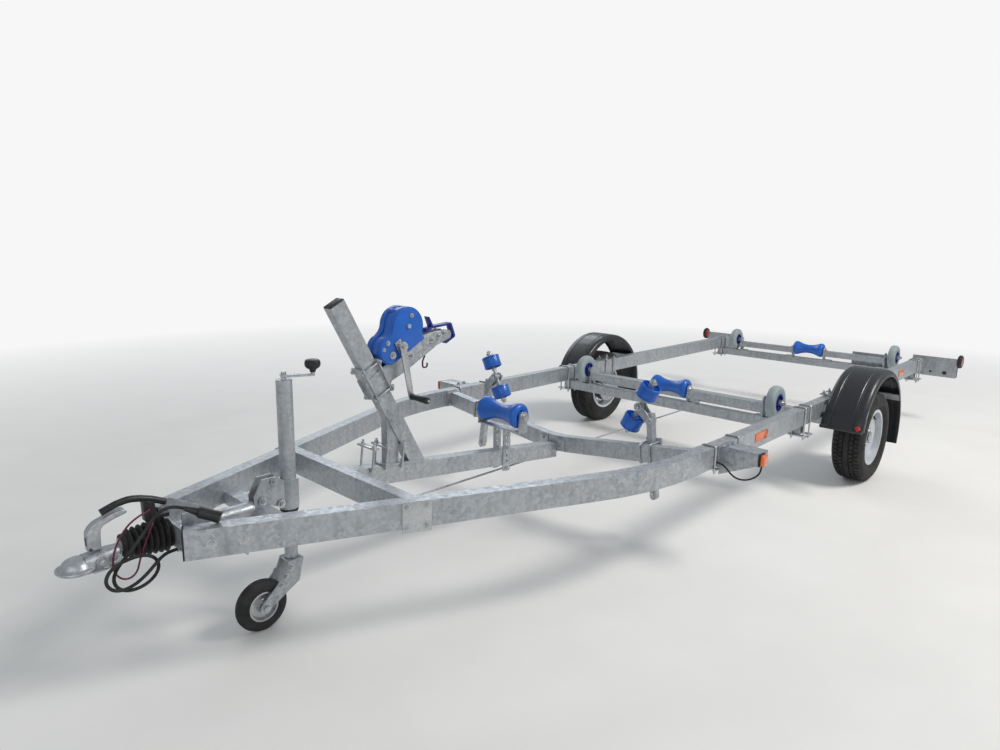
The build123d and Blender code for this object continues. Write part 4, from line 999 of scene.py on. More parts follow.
def post_tube(mesh_data, head, lean, half):
    """Square tube that leans from its head down to a rounded foot."""
    rise = Vector((0, -sin(lean), cos(lean)))
    across = Vector((0, cos(lean), sin(lean)))
    length = (head.z - 0.215) / cos(lean)
    outline = [(half, 0.0), (-half, 0.0), *arc_points((0, half - length), half, 180, 360, 16)]
    start = axes_matrix(head - X_AXIS * half, across, rise, X_AXIS)
    plate(mesh_data, outline, 2 * half, start, 0, 0.003, 3)


def post_fork(mesh_data, pivot, seat, half):
    """Two plates from the tube's head up to the rocking arm's pivot, with their pin."""
    turn = degrees(atan2(pivot.z - seat[1], pivot.y - seat[0]))
    outline = [
        *arc_points((pivot.y, pivot.z), 0.024, turn - 90, turn + 90, 18),
        *arc_points(seat, half, turn + 90, turn + 270, 14),
    ]
    for end in (-1, 1):
        start = axes_matrix(Vector((pivot.x + end * half, 0, 0)), Y_AXIS, Z_AXIS, X_AXIS)
        plate(mesh_data, outline, end * 0.006, start, 0, 0.001)
    pin = X_AXIS * (half + 0.012)
    rod(mesh_data, pivot - pin, pivot + pin, 0.008, 24, 0, 0.001)


def post_saddles(mesh_data, head, lean):
    """U bolts that hold the post to the bow beam, which falls outwards."""
    slope = atan2(0.113, 0.900)
    rise = Vector((0, -sin(slope), cos(slope)))
    crossing = head.y + (head.z - 0.459) * tan(lean)
    for y in (crossing - 0.028, crossing + 0.028):
        middle = Vector((head.x + 0.025, y, 0.386 + y * tan(slope)))
        saddle_bolt(mesh_data, middle, rise, X_AXIS, 0.084, 0.085)


class MakeBowPosts(bpy.types.Operator):
    """Leaning posts of the bow rollers, with their fork plates and U bolts round the bow beam"""

    bl_idname = "trailer.bow_posts"
    bl_label = "Bow posts"

    def execute(self, context):
        pivot = joint_place("rocking_arm_left_tilt")[0]
        head = Vector((pivot.x, 0.560, 0.650))
        lean = radians(7)
        half = 0.0175
        mesh_data = bmesh.new()
        post_tube(mesh_data, head, lean, half)
        post_fork(mesh_data, pivot, (head.y + 0.040 * tan(lean), head.z - 0.040), half)
        post_saddles(mesh_data, head, lean)
        mirrored(mesh_data)
        add_piece(
            "bow_post_frames", mesh_data, "chassis", ["galvanized"], 35, ["bow_posts"]
        )
        return {"FINISHED"}


class MakeOutriggers(bpy.types.Operator):
    """Folded outriggers that carry the side marker lamps"""

    bl_idname = "trailer.outriggers"
    bl_label = "Outriggers"

    def execute(self, context):
        low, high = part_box("outriggers")
        sheet = 0.004
        lip = 0.056
        inner = rail_outer_y + sheet
        rear = axle_x + 1.621
        front = axle_x + 1.725
        middle = (rear + front) / 2
        width = front - rear
        gusset = [
            (inner, rail_top), (high.y - 0.003, rail_top), (high.y, rail_top - 0.003),
            (high.y, rail_top - lip), (inner, rail_top - 0.140),
        ]
        mesh_data = bmesh.new()
        for x in (rear, front - sheet):
            start = axes_matrix(Vector((x, 0, 0)), Y_AXIS, Z_AXIS, X_AXIS)
            plate(mesh_data, gusset, sheet, start, 0, 0.0008)
        top = (middle, (rail_outer_y + high.y) / 2, rail_top - sheet / 2)
        block(mesh_data, top, (width, high.y - rail_outer_y, sheet), None, 0.0015)
        edge = (middle, high.y - sheet / 2, rail_top - lip / 2)
        block(mesh_data, edge, (width, sheet, lip), None, 0.0015)
        foot_front = front + 0.012
        foot = ((low.x + foot_front) / 2, rail_outer_y + 0.003, rail_top - 0.060)
        block(mesh_data, foot, (foot_front - low.x, 0.006, 0.120), None, 0.0012)
        mirrored(mesh_data)
        add_piece(
            "outrigger_sheets", mesh_data, "chassis", ["galvanized"], 35, ["outriggers"]
        )
        return {"FINISHED"}


# Road wheels
def tyre_outline(half, radius, depth):
    """A tyre's outline as (offset, radius) pairs: tread with four grooves, walls and beads."""
    crown = [
        (0.0, 0.0), (0.0140, 0.0), (0.0150, depth), (0.0205, depth), (0.0215, 0.0002),
        (0.0405, 0.0009), (0.0415, depth), (0.0465, depth), (0.0475, 0.0014), (0.0640, 0.0030),
        (0.0720, 0.0066),
    ]
    wall = [
        (0.0805, 0.0150), (0.0850, 0.0240), (0.0862, 0.0262), (0.0893, 0.0290), (0.0915, 0.0420),
        (0.0925, 0.0600), (0.0905, 0.0740), (0.0880, 0.0800), (0.0872, 0.0835), (0.0815, 0.0930),
        (0.0765, 0.0990), (0.0768, 0.1040), (0.0710, 0.1085), (0.0705, 0.1200), (0.0580, 0.1220),
        (0.0800, 0.0630), (0.0700, 0.0200),
    ]
    right = [(offset * half / 0.0925, radius - drop) for offset, drop in crown + wall]
    left = [(-offset, level) for offset, level in reversed(right[1:])]
    return left + right


def tread_cut(face, centre, steps):
    """Whether a face of the tread lies in a cross cut of the shoulders or of the ribs."""
    middle = face.calc_center_median() - centre
    reach = Vector((middle.x, 0, middle.z)).length
    turn = int((atan2(middle.x, middle.z) / (2 * pi) + 0.5) * steps)
    shoulder = 0.0475 < abs(middle.y) < 0.0725 and turn % 4 == 0
    rib = 0.0215 < abs(middle.y) < 0.0405 and turn % 4 == 2
    return reach > wheel_radius - 0.0058 and (shoulder or rib)


class MakeTyres(bpy.types.Operator):
    """Road tyres with ribbed tread, cross cuts and plain side walls"""

    bl_idname = "trailer.tyres"
    bl_label = "Tyres"

    def execute(self, context):
        sizes = context.scene.trailer_sizes
        steps = sizes.tread_cuts * 4
        for hand in HANDS:
            node = "tyre_" + hand
            centre = wheel_place[hand]
            low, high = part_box(node)
            outline = tyre_outline((high.y - low.y) / 2, wheel_radius, sizes.tread_depth)
            mesh_data = bmesh.new()
            faces = turned(mesh_data, centre, Y_AXIS, Z_AXIS, outline, steps)
            cuts = [face for face in faces if tread_cut(face, centre, steps)]
            for face in bmesh.ops.extrude_discrete_faces(mesh_data, faces=cuts)["faces"]:
                middle = face.calc_center_median() - centre
                inward = -Vector((middle.x, 0, middle.z)).normalized()
                bmesh.ops.translate(
                    mesh_data, verts=face.verts, vec=inward * sizes.tread_depth * 0.75
                )
            add_piece(
                node + "_rubber", mesh_data, "wheel_" + hand, ["rubber_black"], 30, [node]
            )
        return {"FINISHED"}


def wheel_nut(mesh_data, place, outward):
    """A wheel nut: cone seat, hexagon and rounded end."""
    foot, seat, crown, tip = (place + outward * level for level in (-0.002, 0.005, 0.021, 0.025))
    rod(mesh_data, foot, seat, 0.0125, 24, 0, 0.001, 0.0105)
    rod(mesh_data, seat, crown, 0.0105, 6, 0, 0.0012)
    rod(mesh_data, crown, tip, 0.0085, 16, 0, 0.0015, 0.005)


def wheel_valve(mesh_data, centre, outward):
    """A valve that leans in from the rim, with its cap."""
    turn = 2.0
    foot = centre + outward * 0.036 + (X_AXIS * cos(turn) + Z_AXIS * sin(turn)) * 0.146
    lean = (centre + outward * 0.16 - foot).normalized()
    rod(mesh_data, foot, foot + lean * 0.030, 0.0055, 16, 0, 0.001, 0.004)
    rod(mesh_data, foot + lean * 0.029, foot + lean * 0.040, 0.0048, 16, 0, 0.001)


GREASE_CAP = (
    (0.0215, 0.0), (0.0215, 0.0335), (0.0245, 0.0335), (0.0265, 0.0320), (0.0440, 0.0305),
    (0.0540, 0.0285), (0.0590, 0.0235), (0.0610, 0.0150), (0.0625, 0.0080), (0.0630, 0.0),
)


class MakeWheels(bpy.types.Operator):
    """Wheel nuts, grease caps and valves"""

    bl_idname = "trailer.wheels"
    bl_label = "Wheel fittings"

    def execute(self, context):
        for hand, side in HANDS.items():
            body = "wheel_" + hand
            outward = Y_AXIS * side
            centre = wheel_place[hand]
            mesh_data = bmesh.new()
            for stud in range(5):
                turn = 2 * pi * stud / 5 + 0.3
                spoke = X_AXIS * cos(turn) + Z_AXIS * sin(turn)
                wheel_nut(mesh_data, centre + outward * 0.026 + spoke * 0.056, outward)
            turned(mesh_data, centre, outward, Z_AXIS, GREASE_CAP, 48, closed=False)
            add_piece("wheel_nuts_" + hand, mesh_data, body, ["bright_zinc"])
            mesh_data = bmesh.new()
            wheel_valve(mesh_data, centre, outward)
            add_piece("wheel_valve_" + hand, mesh_data, body, ["rubber_black"])
        return {"FINISHED"}


# Mudguards
def guard_outline(half, radius, wall):
    """Closed section of a mudguard: crown, two creases, rounded shoulders and side skirts."""
    side_line = (
        (half, radius - 0.042), (half - 0.0005, radius - 0.030), (half - 0.0020, radius - 0.018),
        (half - 0.006, radius - 0.010), (half - 0.014, radius - 0.0045),
        (half - 0.024, radius - 0.0012), (half - 0.050, radius - 0.0004),
        (half - 0.054, radius - 0.0030), (half - 0.060, radius - 0.0030),
        (half - 0.064, radius - 0.0002),
    )
    outer = [
        *side_line, (0.0, radius), *((-offset, level) for offset, level in reversed(side_line))
    ]
    inner = [
        (offset * (half - wall) / half, level if abs(offset) == half else level - wall)
        for offset, level in reversed(outer)
    ]
    return outer + inner


def guard_sweep(mesh_data, hand, ahead, outline, steps, sweep):
    """A mudguard's section swept back over its wheel, with both ends closed."""
    known = set(mesh_data.edges)
    turned(mesh_data, wheel_place[hand], Y_AXIS, ahead, outline, steps, True, -sweep)
    ends = [edge for edge in mesh_data.edges if edge.is_boundary and edge not in known]
    bmesh.ops.holes_fill(mesh_data, edges=ends, sides=0)


class MakeMudguards(bpy.types.Operator):
    """Moulded mudguards with creases, rounded shoulders, side skirts and a raised band in front"""

    bl_idname = "trailer.mudguards"
    bl_label = "Mudguards"

    def execute(self, context):
        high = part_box("mudguards")[1]
        radius = high.z - wheel_radius
        half = high.y - wheel_y
        front = radians(16)
        ahead = X_AXIS * cos(front) + Z_AXIS * sin(front)
        tangent = Y_AXIS.cross(ahead)
        shell = guard_outline(half, radius, context.scene.trailer_sizes.guard_wall)
        band = guard_outline(half + 0.005, radius + 0.009, 0.010)
        mesh_data = bmesh.new()
        for hand in HANDS:
            guard_sweep(mesh_data, hand, ahead, shell, 90, radians(180))
            guard_sweep(mesh_data, hand, ahead, band, 10, radians(11))
            roll = wheel_place[hand] + ahead * (radius + 0.003) + tangent * 0.004
            reach = Y_AXIS * (half + 0.002)
            rod(mesh_data, roll - reach, roll + reach, 0.0105, 20, 0, 0.004)
        finishes = ["guard_black"]
        add_piece(
            "mudguard_shells", mesh_data, "chassis", finishes, 30, ["mudguards"]
        )
        return {"FINISHED"}


# Rollers
def ribs_round(mesh_data, centre, axis, first, offset, radius, size, count, material=0):
    """Radial ribs in both ends of a roller."""
    for number in range(count):
        reach = Matrix.Rotation(2 * pi * number / count + 0.3, 4, axis) @ first
        turn = axes_turn(reach, axis.cross(reach), axis)
        for end in (-1, 1):
            middle = centre + reach * radius + axis * end * offset
            block(mesh_data, middle, size, turn, 0.0007, material)


def both_ends(side_line):
    """A whole outline from the half of it on the positive side."""
    return [(-offset, level) for offset, level in reversed(side_line) if offset] + list(side_line)


class MakeSideRollers(bpy.types.Operator):
    """Side rollers: crowned rubber rings on ribbed plastic hubs"""

    bl_idname = "trailer.side_rollers"
    bl_label = "Side rollers"

    def execute(self, context):
        for station in ("mid", "rear"):
            for hand in HANDS:
                node = "side_roller_" + station + "_" + hand
                centre = joint_place(node + "_spin")[0]
                low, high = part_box(node)
                half = (high.y - low.y) / 2
                radius = (high.z - low.z) / 2
                ring = (
                    (half - 0.018, radius), (half - 0.009, radius - 0.003),
                    (half - 0.003, radius - 0.008), (half, radius - 0.016), (half, 0.056),
                    (half - 0.002, 0.052),
                )
                hub = (
                    (half - 0.001, 0.0525), (half - 0.001, 0.046), (half - 0.012, 0.044),
                    (half - 0.012, 0.022), (half - 0.003, 0.020), (half - 0.003, 0.0108),
                )
                mesh_data = bmesh.new()
                turned(mesh_data, centre, Y_AXIS, Z_AXIS, both_ends(ring), 72)
                turned(mesh_data, centre, Y_AXIS, Z_AXIS, both_ends(hub), 48, material=1)
                rib = (0.026, 0.004, 0.009)
                ribs_round(mesh_data, centre, Y_AXIS, X_AXIS, half - 0.0085, 0.033, rib, 6, 1)
                finishes = ["ring_grey", "hub_blue"]
                add_piece(node + "_ring", mesh_data, node, finishes, 32, [node])
        return {"FINISHED"}


class MakeKeelRollers(bpy.types.Operator):
    """Waisted keel rollers with recessed, ribbed ends"""

    bl_idname = "trailer.keel_rollers"
    bl_label = "Keel rollers"

    def execute(self, context):
        for station in ("front", "mid", "rear"):
            node = "keel_roller_" + station
            centre = joint_place(node + "_spin")[0]
            low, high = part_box(node)
            half = (high.y - low.y) / 2
            radius = (high.z - low.z) / 2
            waist = 0.038
            flank = half - 0.038
            hollow = [
                (flank * share, waist + (radius - 0.003 - waist) * share**2 * (0.9 + 0.1 * share))
                for share in (0.0, 0.15, 0.3, 0.45, 0.6, 0.72, 0.82, 0.9, 0.96, 1.0)
            ]
            side_line = (
                *hollow,
                (half - 0.027, radius - 0.0008), (half - 0.020, radius),
                (half - 0.013, radius - 0.0008), (half - 0.007, radius - 0.0040),
                (half - 0.002, radius - 0.0095), (half, radius - 0.0150), (half - 0.001, 0.0315),
                (half - 0.009, 0.0290), (half - 0.010, 0.0200), (half - 0.003, 0.0185),
                (half - 0.002, 0.0106),
            )
            mesh_data = bmesh.new()
            turned(mesh_data, centre, Y_AXIS, Z_AXIS, both_ends(side_line), 64)
            ribs_round(
                mesh_data, centre, Y_AXIS, X_AXIS, half - 0.008, 0.0245, (0.011, 0.0035, 0.009), 6
            )
            add_piece(
                node + "_barrel", mesh_data, node, ["roller_blue"], 32, [node]
            )
        return {"FINISHED"}


class MakeBowRollers(bpy.types.Operator):
    """Bow rollers: rimmed barrels with deep spoked ends"""

    bl_idname = "trailer.bow_rollers"
    bl_label = "Bow rollers"

    def execute(self, context):
        half = 0.035
        radius = 0.053
        side_line = (
            (0.0, radius - 0.0022), (half - 0.016, radius - 0.0012),
            (half - 0.0125, radius - 0.0028), (half - 0.0115, radius - 0.0028),
            (half - 0.0095, radius), (half - 0.003, radius - 0.0008), (half, radius - 0.0045),
            (half - 0.0005, radius - 0.0080), (half - 0.016, radius - 0.0105),
            (half - 0.018, 0.0200), (half - 0.013, 0.0180), (half - 0.0125, 0.0106),
        )
        for hand in HANDS:
            for level in ("upper", "lower"):
                node = "bow_roller_" + level + "_" + hand
                centre, axis = joint_place(node + "_spin")
                mesh_data = bmesh.new()
                turned(mesh_data, centre, axis, X_AXIS, both_ends(side_line), 56)
                ribs_round(
                    mesh_data, centre, axis, X_AXIS, half - 0.0135, 0.031, (0.024, 0.0035, 0.009), 6
                )
                add_piece(
                    node + "_barrel", mesh_data, node, ["roller_blue"], 32, [node]
                )
        return {"FINISHED"}


# Winch
def winch_arm_matrix():
    """Matrix whose X runs along the winch arm, whose Y rises square to it and whose Z is across."""
    along = Vector((-cos(ARM_LEAN), 0, sin(ARM_LEAN)))
    rise = Vector((sin(ARM_LEAN), 0, cos(ARM_LEAN)))
    crank = joint_place("winch_crank_turn")[0]
    origin = Vector((crank.x, 0, crank.z)) - along * 0.158 - rise * 0.088
    return axes_matrix(origin, along, rise, Y_AXIS)


def cover_outline(step):
    """The winch cover's two lobes, drawn in by a step."""
    drum = arc_points((0.235, 0.134), 0.083 - step, -50, 150, 28)
    gear = arc_points((0.112, 0.096), 0.060 - step, 80, 250, 18)
    waist = [(0.1555 - step * 0.2, 0.1680 - step * 1.6), (0.1430, 0.1605 - step * 1.6)]
    foot = [(0.099 + step, 0.040 + step * 0.3), (0.286 - step, 0.040 + step * 0.3)]
    return [*drum, *waist, *gear, *foot]


def cover_layer(mesh_data, matrix, first, last, step, bevel=0.0, segments=2):
    """One layer of the winch cover, between two places across the arm."""
    start = matrix @ Matrix.Translation((0, 0, first))
    plate(mesh_data, cover_outline(step), last - first, start, 0, bevel, segments)


class MakeWinch(bpy.types.Operator):
    """Two-lobed winch cover with its rim, screws and crank plate"""

    bl_idname = "trailer.winch"
    bl_label = "Winch"

    def execute(self, context):
        matrix = winch_arm_matrix()
        half = 0.048
        rim = 0.0045
        mesh_data = bmesh.new()
        cover_layer(mesh_data, matrix, -0.014, 0.016, rim)
        cover_layer(mesh_data, matrix, -0.044, -0.012, 0, 0.003)
        cover_layer(mesh_data, matrix, 0.014, 0.044, 0, 0.003)
        for end in (-1, 1):
            cover_layer(mesh_data, matrix, end * 0.0435, end * half, rim, 0.003, 3)
        ends = [matrix @ Vector((0.225, 0.2125, across)) for across in (-0.017, 0.017)]
        rod(mesh_data, *ends, 0.009, 28, 0, 0.002)
        finishes = ["roller_blue"]
        add_piece(
            "winch_cover_shell", mesh_data, "chassis", finishes, 40, ["winch_cover"]
        )
        mesh_data = bmesh.new()
        screws = (
            (0.271, 0.166, 0.011), (0.112, 0.132, 0.011),
            (0.082, 0.119, 0.009), (0.108, 0.074, 0.017)
        )
        for x, y, across in screws:
            for side in (-1, 1):
                place = matrix @ Vector((x, y, side * half))
                bolt(mesh_data, place, Y_AXIS * side, across, across * 0.25)
        ends = [matrix @ Vector((0.236, 0.136, across)) for across in (-0.054, 0.056)]
        rod(mesh_data, *ends, 0.0095, 24, 0, 0.0015)
        turn = matrix.to_3x3().to_4x4()
        block(
            mesh_data, matrix @ Vector((0.156, 0.082, half + 0.002)),
            (0.034, 0.066, 0.005), turn, 0.0018
        )
        add_piece("winch_cover_screws", mesh_data, "chassis", ["bright_zinc"])
        return {"FINISHED"}


class MakeWinchArm(bpy.types.Operator):
    """Winch arm: two side plates with webs, clamped to the stand by plates and long bolts"""

    bl_idname = "trailer.winch_arm"
    bl_label = "Winch arm"

    def execute(self, context):
        matrix = winch_arm_matrix()
        outline = (
            (-0.053, 0.044), (0.051, 0.052), (0.135, 0.046), (0.211, 0.044), (0.300, 0.047),
            (0.362, 0.026), (0.428, -0.010), (0.435, -0.020), (0.435, -0.033), (0.424, -0.048),
            (0.339, -0.034), (0.136, -0.034), (0.060, -0.026), (0.045, -0.040), (-0.053, -0.052),
        )
        half = 0.0252
        sheet = 0.008
        mesh_data = bmesh.new()
        for side in (-1, 1):
            start = matrix @ Matrix.Translation((0, 0, side * half))
            plate(mesh_data, outline, side * 0.0048, start, 0, 0.0009)
        start = matrix @ Matrix.Translation((0, 0, -half))
        for low, high, level in (
            (0.043, 0.265, -0.026), (0.306, 0.356, -0.026), (0.060, 0.262, 0.026)
        ):
            web = ((low, level), (high, level), (high, level + sheet), (low, level + sheet))
            plate(mesh_data, web, 2 * half, start)
        start = matrix @ Matrix.Translation((0, 0, -0.042))
        for low in (-0.043, 0.035):
            bar = ((low, -0.060), (low + sheet, -0.060), (low + sheet, 0.100), (low, 0.100))
            plate(mesh_data, bar, 0.084, start, 0, 0.0015)
        for level in ARM_CLAMP_LEVELS:
            for across in (-0.034, 0.034):
                ends = [matrix @ Vector((reach, level, across)) for reach in (-0.057, 0.057)]
                rod(mesh_data, *ends, 0.005, 16, 0, 0.0008)
        add_piece(
            "winch_arm_plates", mesh_data, "chassis", ["galvanized"], 35, ["winch_arm"]
        )
        return {"FINISHED"}


class MakeCrank(bpy.types.Operator):
    """Winch crank: flat bar, boss and black grip"""

    bl_idname = "trailer.crank"
    bl_label = "Winch crank"

    def execute(self, context):
        pivot = joint_place("winch_crank_turn")[0]
        axis_point = Vector((pivot.x, 0, pivot.z))
        grip_point = axis_point + Vector((-0.040, 0, -0.218))
        down = (grip_point - axis_point).normalized()
        reach = (grip_point - axis_point).length
        matrix = axes_matrix(axis_point + Y_AXIS * 0.064, down, Y_AXIS.cross(down), Y_AXIS)
        outline = [
            *arc_points((0, 0), 0.0165, 90, 270, 12), *arc_points((reach, 0), 0.0125, -90, 90, 12)
        ]
        mesh_data = bmesh.new()
        plate(mesh_data, outline, 0.008, matrix, 0, 0.0015)
        rod(
            mesh_data, axis_point + Y_AXIS * 0.049,
            axis_point + Y_AXIS * 0.0755, 0.012, 28, 0, 0.001
        )
        bolt(mesh_data, axis_point + Y_AXIS * 0.072, Y_AXIS, 0.022, 0.003)
        rod(mesh_data, grip_point + Y_AXIS * 0.060, grip_point + Y_AXIS * 0.076, 0.009, 20)
        bolt(mesh_data, grip_point + Y_AXIS * 0.177, Y_AXIS, 0.010)
        handle = [
            (0.0730, 0.0), (0.0730, 0.0120), (0.0740, 0.0140), (0.0790, 0.0145), (0.0810, 0.0118),
            (0.0900, 0.0112), (0.1100, 0.0125), (0.1400, 0.0138), (0.1600, 0.0146),
            (0.1720, 0.0148), (0.1770, 0.0135), (0.1790, 0.0095), (0.1790, 0.0),
        ]
        turned(mesh_data, grip_point, Y_AXIS, Z_AXIS, handle, 32, closed=False, material=1)
        finishes = ["bright_zinc", "grip_black"]
        add_piece(
            "winch_crank_arm", mesh_data, "winch_crank", finishes, 32, ["winch_crank"]
        )
        return {"FINISHED"}


class MakeBowStop(bpy.types.Operator):
    """Bow stop, a coated strap bent round the arm's end with a spike, and the winch hook"""

    bl_idname = "trailer.bow_stop"
    bl_label = "Bow stop"

    def execute(self, context):
        matrix = winch_arm_matrix()
        outline = (
            (0.324, 0.044), (0.327, 0.051), (0.336, 0.056), (0.362, 0.047), (0.367, 0.091),
            (0.370, 0.093), (0.373, 0.090), (0.374, 0.043), (0.465, 0.003), (0.470, -0.004),
            (0.463, -0.064), (0.457, -0.070), (0.400, -0.068), (0.398, -0.064), (0.399, -0.059),
            (0.451, -0.061), (0.458, -0.006), (0.364, 0.036),
        )
        mesh_data = bmesh.new()
        start = matrix @ Matrix.Translation((0, 0, -0.016))
        plate(mesh_data, outline, 0.032, start, 0, 0.0022, 2)
        add_piece(
            "bow_stop_strap", mesh_data, "chassis", ["hub_blue"], 40, ["bow_stop"]
        )
        mesh_data = bmesh.new()
        shank = [(0.272, -0.010), (0.272, -0.046), (0.250, -0.060)]
        hook = [(0.236, -0.086), (0.258, -0.098), (0.268, -0.082)]
        line = [matrix @ Vector((x, y, 0.010)) for x, y in shank + hook]
        bent_rod(mesh_data, line, 0.0038, 0.009, 12)
        add_piece("winch_hook", mesh_data, "chassis", ["dark_steel"])
        return {"FINISHED"}


# Coupling
def head_section(x, half, top):
    """Rounded cross section of the coupling head's body."""
    side_line = [
        (half, 0.0), (half - 0.0006, 0.22 * top), (half - 0.0020, 0.50 * top),
        (half - 0.0055, 0.74 * top), (half - 0.0110, 0.89 * top), (half - 0.0190, 0.97 * top),
        (half - 0.0270, top),
    ]
    other_side = [(-y, z) for y, z in reversed(side_line)]
    return [Vector((x, y, head_base + z)) for y, z in side_line + other_side]


BALL_SHELL = (
    (0.0180, BALL_RADIUS), (0.0, BALL_RADIUS), (0.0, 0.0360), (0.0018, 0.0460), (0.0055, 0.0540),
    (0.0105, 0.0590), (0.0140, 0.0600), (0.0165, 0.0588), (0.0175, 0.0545), (0.0195, 0.0490),
    (0.0250, 0.0452), (0.0320, 0.0410), (0.0390, 0.0345), (0.0440, 0.0255), (0.0465, 0.0145),
    (0.0472, 0.0),
)
HEAD_RIM = (
    (-0.032, 0.0515), (-0.062, 0.0485), (-0.092, 0.0430), (-0.112, 0.0380), (-0.112, -0.0380),
    (-0.092, -0.0430), (-0.062, -0.0485), (-0.032, -0.0515),
)
LOCKING_HANDLE = (
    (-0.0690, -0.033), (-0.0310, -0.030), (-0.0310, 0.020), (-0.0335, 0.030), (-0.0400, 0.040),
    (-0.0560, 0.0545), (-0.1060, 0.0730), (-0.1360, 0.0790), (-0.1455, 0.0770), (-0.1510, 0.0690),
    (-0.1480, 0.0640), (-0.1400, 0.0620), (-0.1100, 0.0540), (-0.0800, 0.0420), (-0.0720, 0.0320),
    (-0.0700, 0.0080),
)
HANDBRAKE_STEM = (
    (0.0, 0.062), (0.074, 0.062), (0.0775, 0.066), (0.0795, 0.136), (0.0430, 0.124),
    (0.0400, 0.082), (0.0360, 0.077), (0.0, 0.076),
)


def ball_shell(mesh_data, centre):
    """Round front of the coupling head, with its rim and the socket for the ball."""
    turned(mesh_data, centre, Z_AXIS, X_AXIS, BALL_SHELL, 64, closed=False)
    turns = (0.0, 0.3, 0.6, 0.9, 1.2, pi / 2)
    socket = [(0.018 + BALL_RADIUS * sin(turn), BALL_RADIUS * cos(turn)) for turn in turns]
    turned(mesh_data, centre, Z_AXIS, X_AXIS, socket, 64, closed=False)


def head_body(mesh_data, rear_x):
    """Body of the coupling head, which narrows towards the shaft."""
    rings = []
    for x, half, top in (
        (ball_x - 0.018, 0.0415, 0.0468), (ball_x - 0.040, 0.0395, 0.0500),
        (ball_x - 0.070, 0.0360, 0.0550), (ball_x - 0.090, 0.0340, 0.0565),
        (rear_x, 0.0310, 0.0560),
    ):
        verts = [mesh_data.verts.new(place) for place in head_section(x, half, top)]
        rings.append([mesh_data.edges.new(pair) for pair in zip(verts, verts[1:] + verts[:1])])
    for first, second in zip(rings, rings[1:]):
        bmesh.ops.bridge_loops(mesh_data, edges=first + second)
    bmesh.ops.holes_fill(mesh_data, edges=rings[0] + rings[-1], sides=0)


def coupling_head():
    """Pressed coupling head: ball shell, body and flared rim."""
    centre = Vector((ball_x, 0, head_base))
    mesh_data = bmesh.new()
    ball_shell(mesh_data, centre)
    head_body(mesh_data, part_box("coupling_head")[0].x)
    plate(mesh_data, HEAD_RIM, 0.0055, Matrix.Translation(centre), 0, 0.0018)
    add_piece("coupling_shell", mesh_data, "chassis", ["galvanized"], 40, ["coupling_head"])


def locking_handle():
    """Coupling handle with its indicator and dark pin."""
    start = Vector((ball_x, 0.0175, coupling_level + 0.046))
    mesh_data = bmesh.new()
    plate(
        mesh_data, LOCKING_HANDLE, 0.035, axes_matrix(start, X_AXIS, Z_AXIS, -Y_AXIS), 0, 0.0040, 3
    )
    front = start + Vector((-0.0305, -0.0175, -0.002))
    block(mesh_data, front, (0.002, 0.016, 0.026), None, 0.0008, 1)
    pin = front + Vector((-0.008, 0, -0.024))
    rod(mesh_data, pin - Y_AXIS * 0.021, pin + Y_AXIS * 0.021, 0.005, 20, 1, 0.001)
    finishes = ["galvanized", "dark_steel"]
    add_piece("coupling_lever", mesh_data, "chassis", finishes, 40, ["coupling_handle"])


def handbrake_lever():
    """Bent handbrake lever on its stem."""
    foot = Vector((housing_x, 0, coupling_level))
    line = [
        (0.006, 0.111), (0.048, 0.131), (0.084, 0.143),
        (0.119, 0.149), (0.157, 0.142), (0.201, 0.126)
    ]
    mesh_data = bmesh.new()
    bent_rod(mesh_data, [foot + Vector((x, 0, z)) for x, z in line], 0.0113, 0.09, 24)
    start = axes_matrix(foot + Y_AXIS * 0.014, X_AXIS, Z_AXIS, -Y_AXIS)
    plate(mesh_data, HANDBRAKE_STEM, 0.028, start, 0, 0.0022)
    add_piece(
        "handbrake_lever", mesh_data, "chassis", ["grip_black"], 45, ["handbrake"]
    )


class MakeCoupling(bpy.types.Operator):
    """Pressed coupling head with its flared rim, locking handle and handbrake lever"""

    bl_idname = "trailer.coupling"
    bl_label = "Coupling"

    def execute(self, context):
        coupling_head()
        locking_handle()
        handbrake_lever()
        return {"FINISHED"}


class MakeGaiter(bpy.types.Operator):
    """Pleated rubber gaiter between the coupling head and the overrun housing"""

    bl_idname = "trailer.gaiter"
    bl_label = "Gaiter"

    def execute(self, context):
        low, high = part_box("gaiter")
        pleats = context.scene.trailer_sizes.pleats
        length = high.x - low.x
        radius = (high.z - low.z) / 2
        pitch = (length - 0.024) / pleats
        outline = [(0.0, 0.0255), (0.0, radius * 0.80), (0.007, radius * 0.80)]
        fold = ((0.0, 1.0), (0.22, 0.55), (0.40, 0.10), (0.50, 0.0), (0.60, 0.10), (0.78, 0.55))
        for pleat in range(pleats):
            crest = radius * (1 - 0.20 * pleat / pleats)
            outline += [
                (0.009 + (pleat + share) * pitch, crest - 0.015 * drop) for share, drop in fold
            ]
        outline += [(length - 0.014, radius * 0.58), (length - 0.012, radius * 0.62)]
        outline += [(length - 0.002, radius * 0.62), (length, radius * 0.59), (length, 0.0255)]
        mesh_data = bmesh.new()
        turned(mesh_data, Vector((low.x, 0, coupling_level)), X_AXIS, Z_AXIS, outline, 64)
        add_piece(
            "gaiter_pleats", mesh_data, "chassis", ["rubber_black"], 50, ["gaiter"]
        )
        return {"FINISHED"}


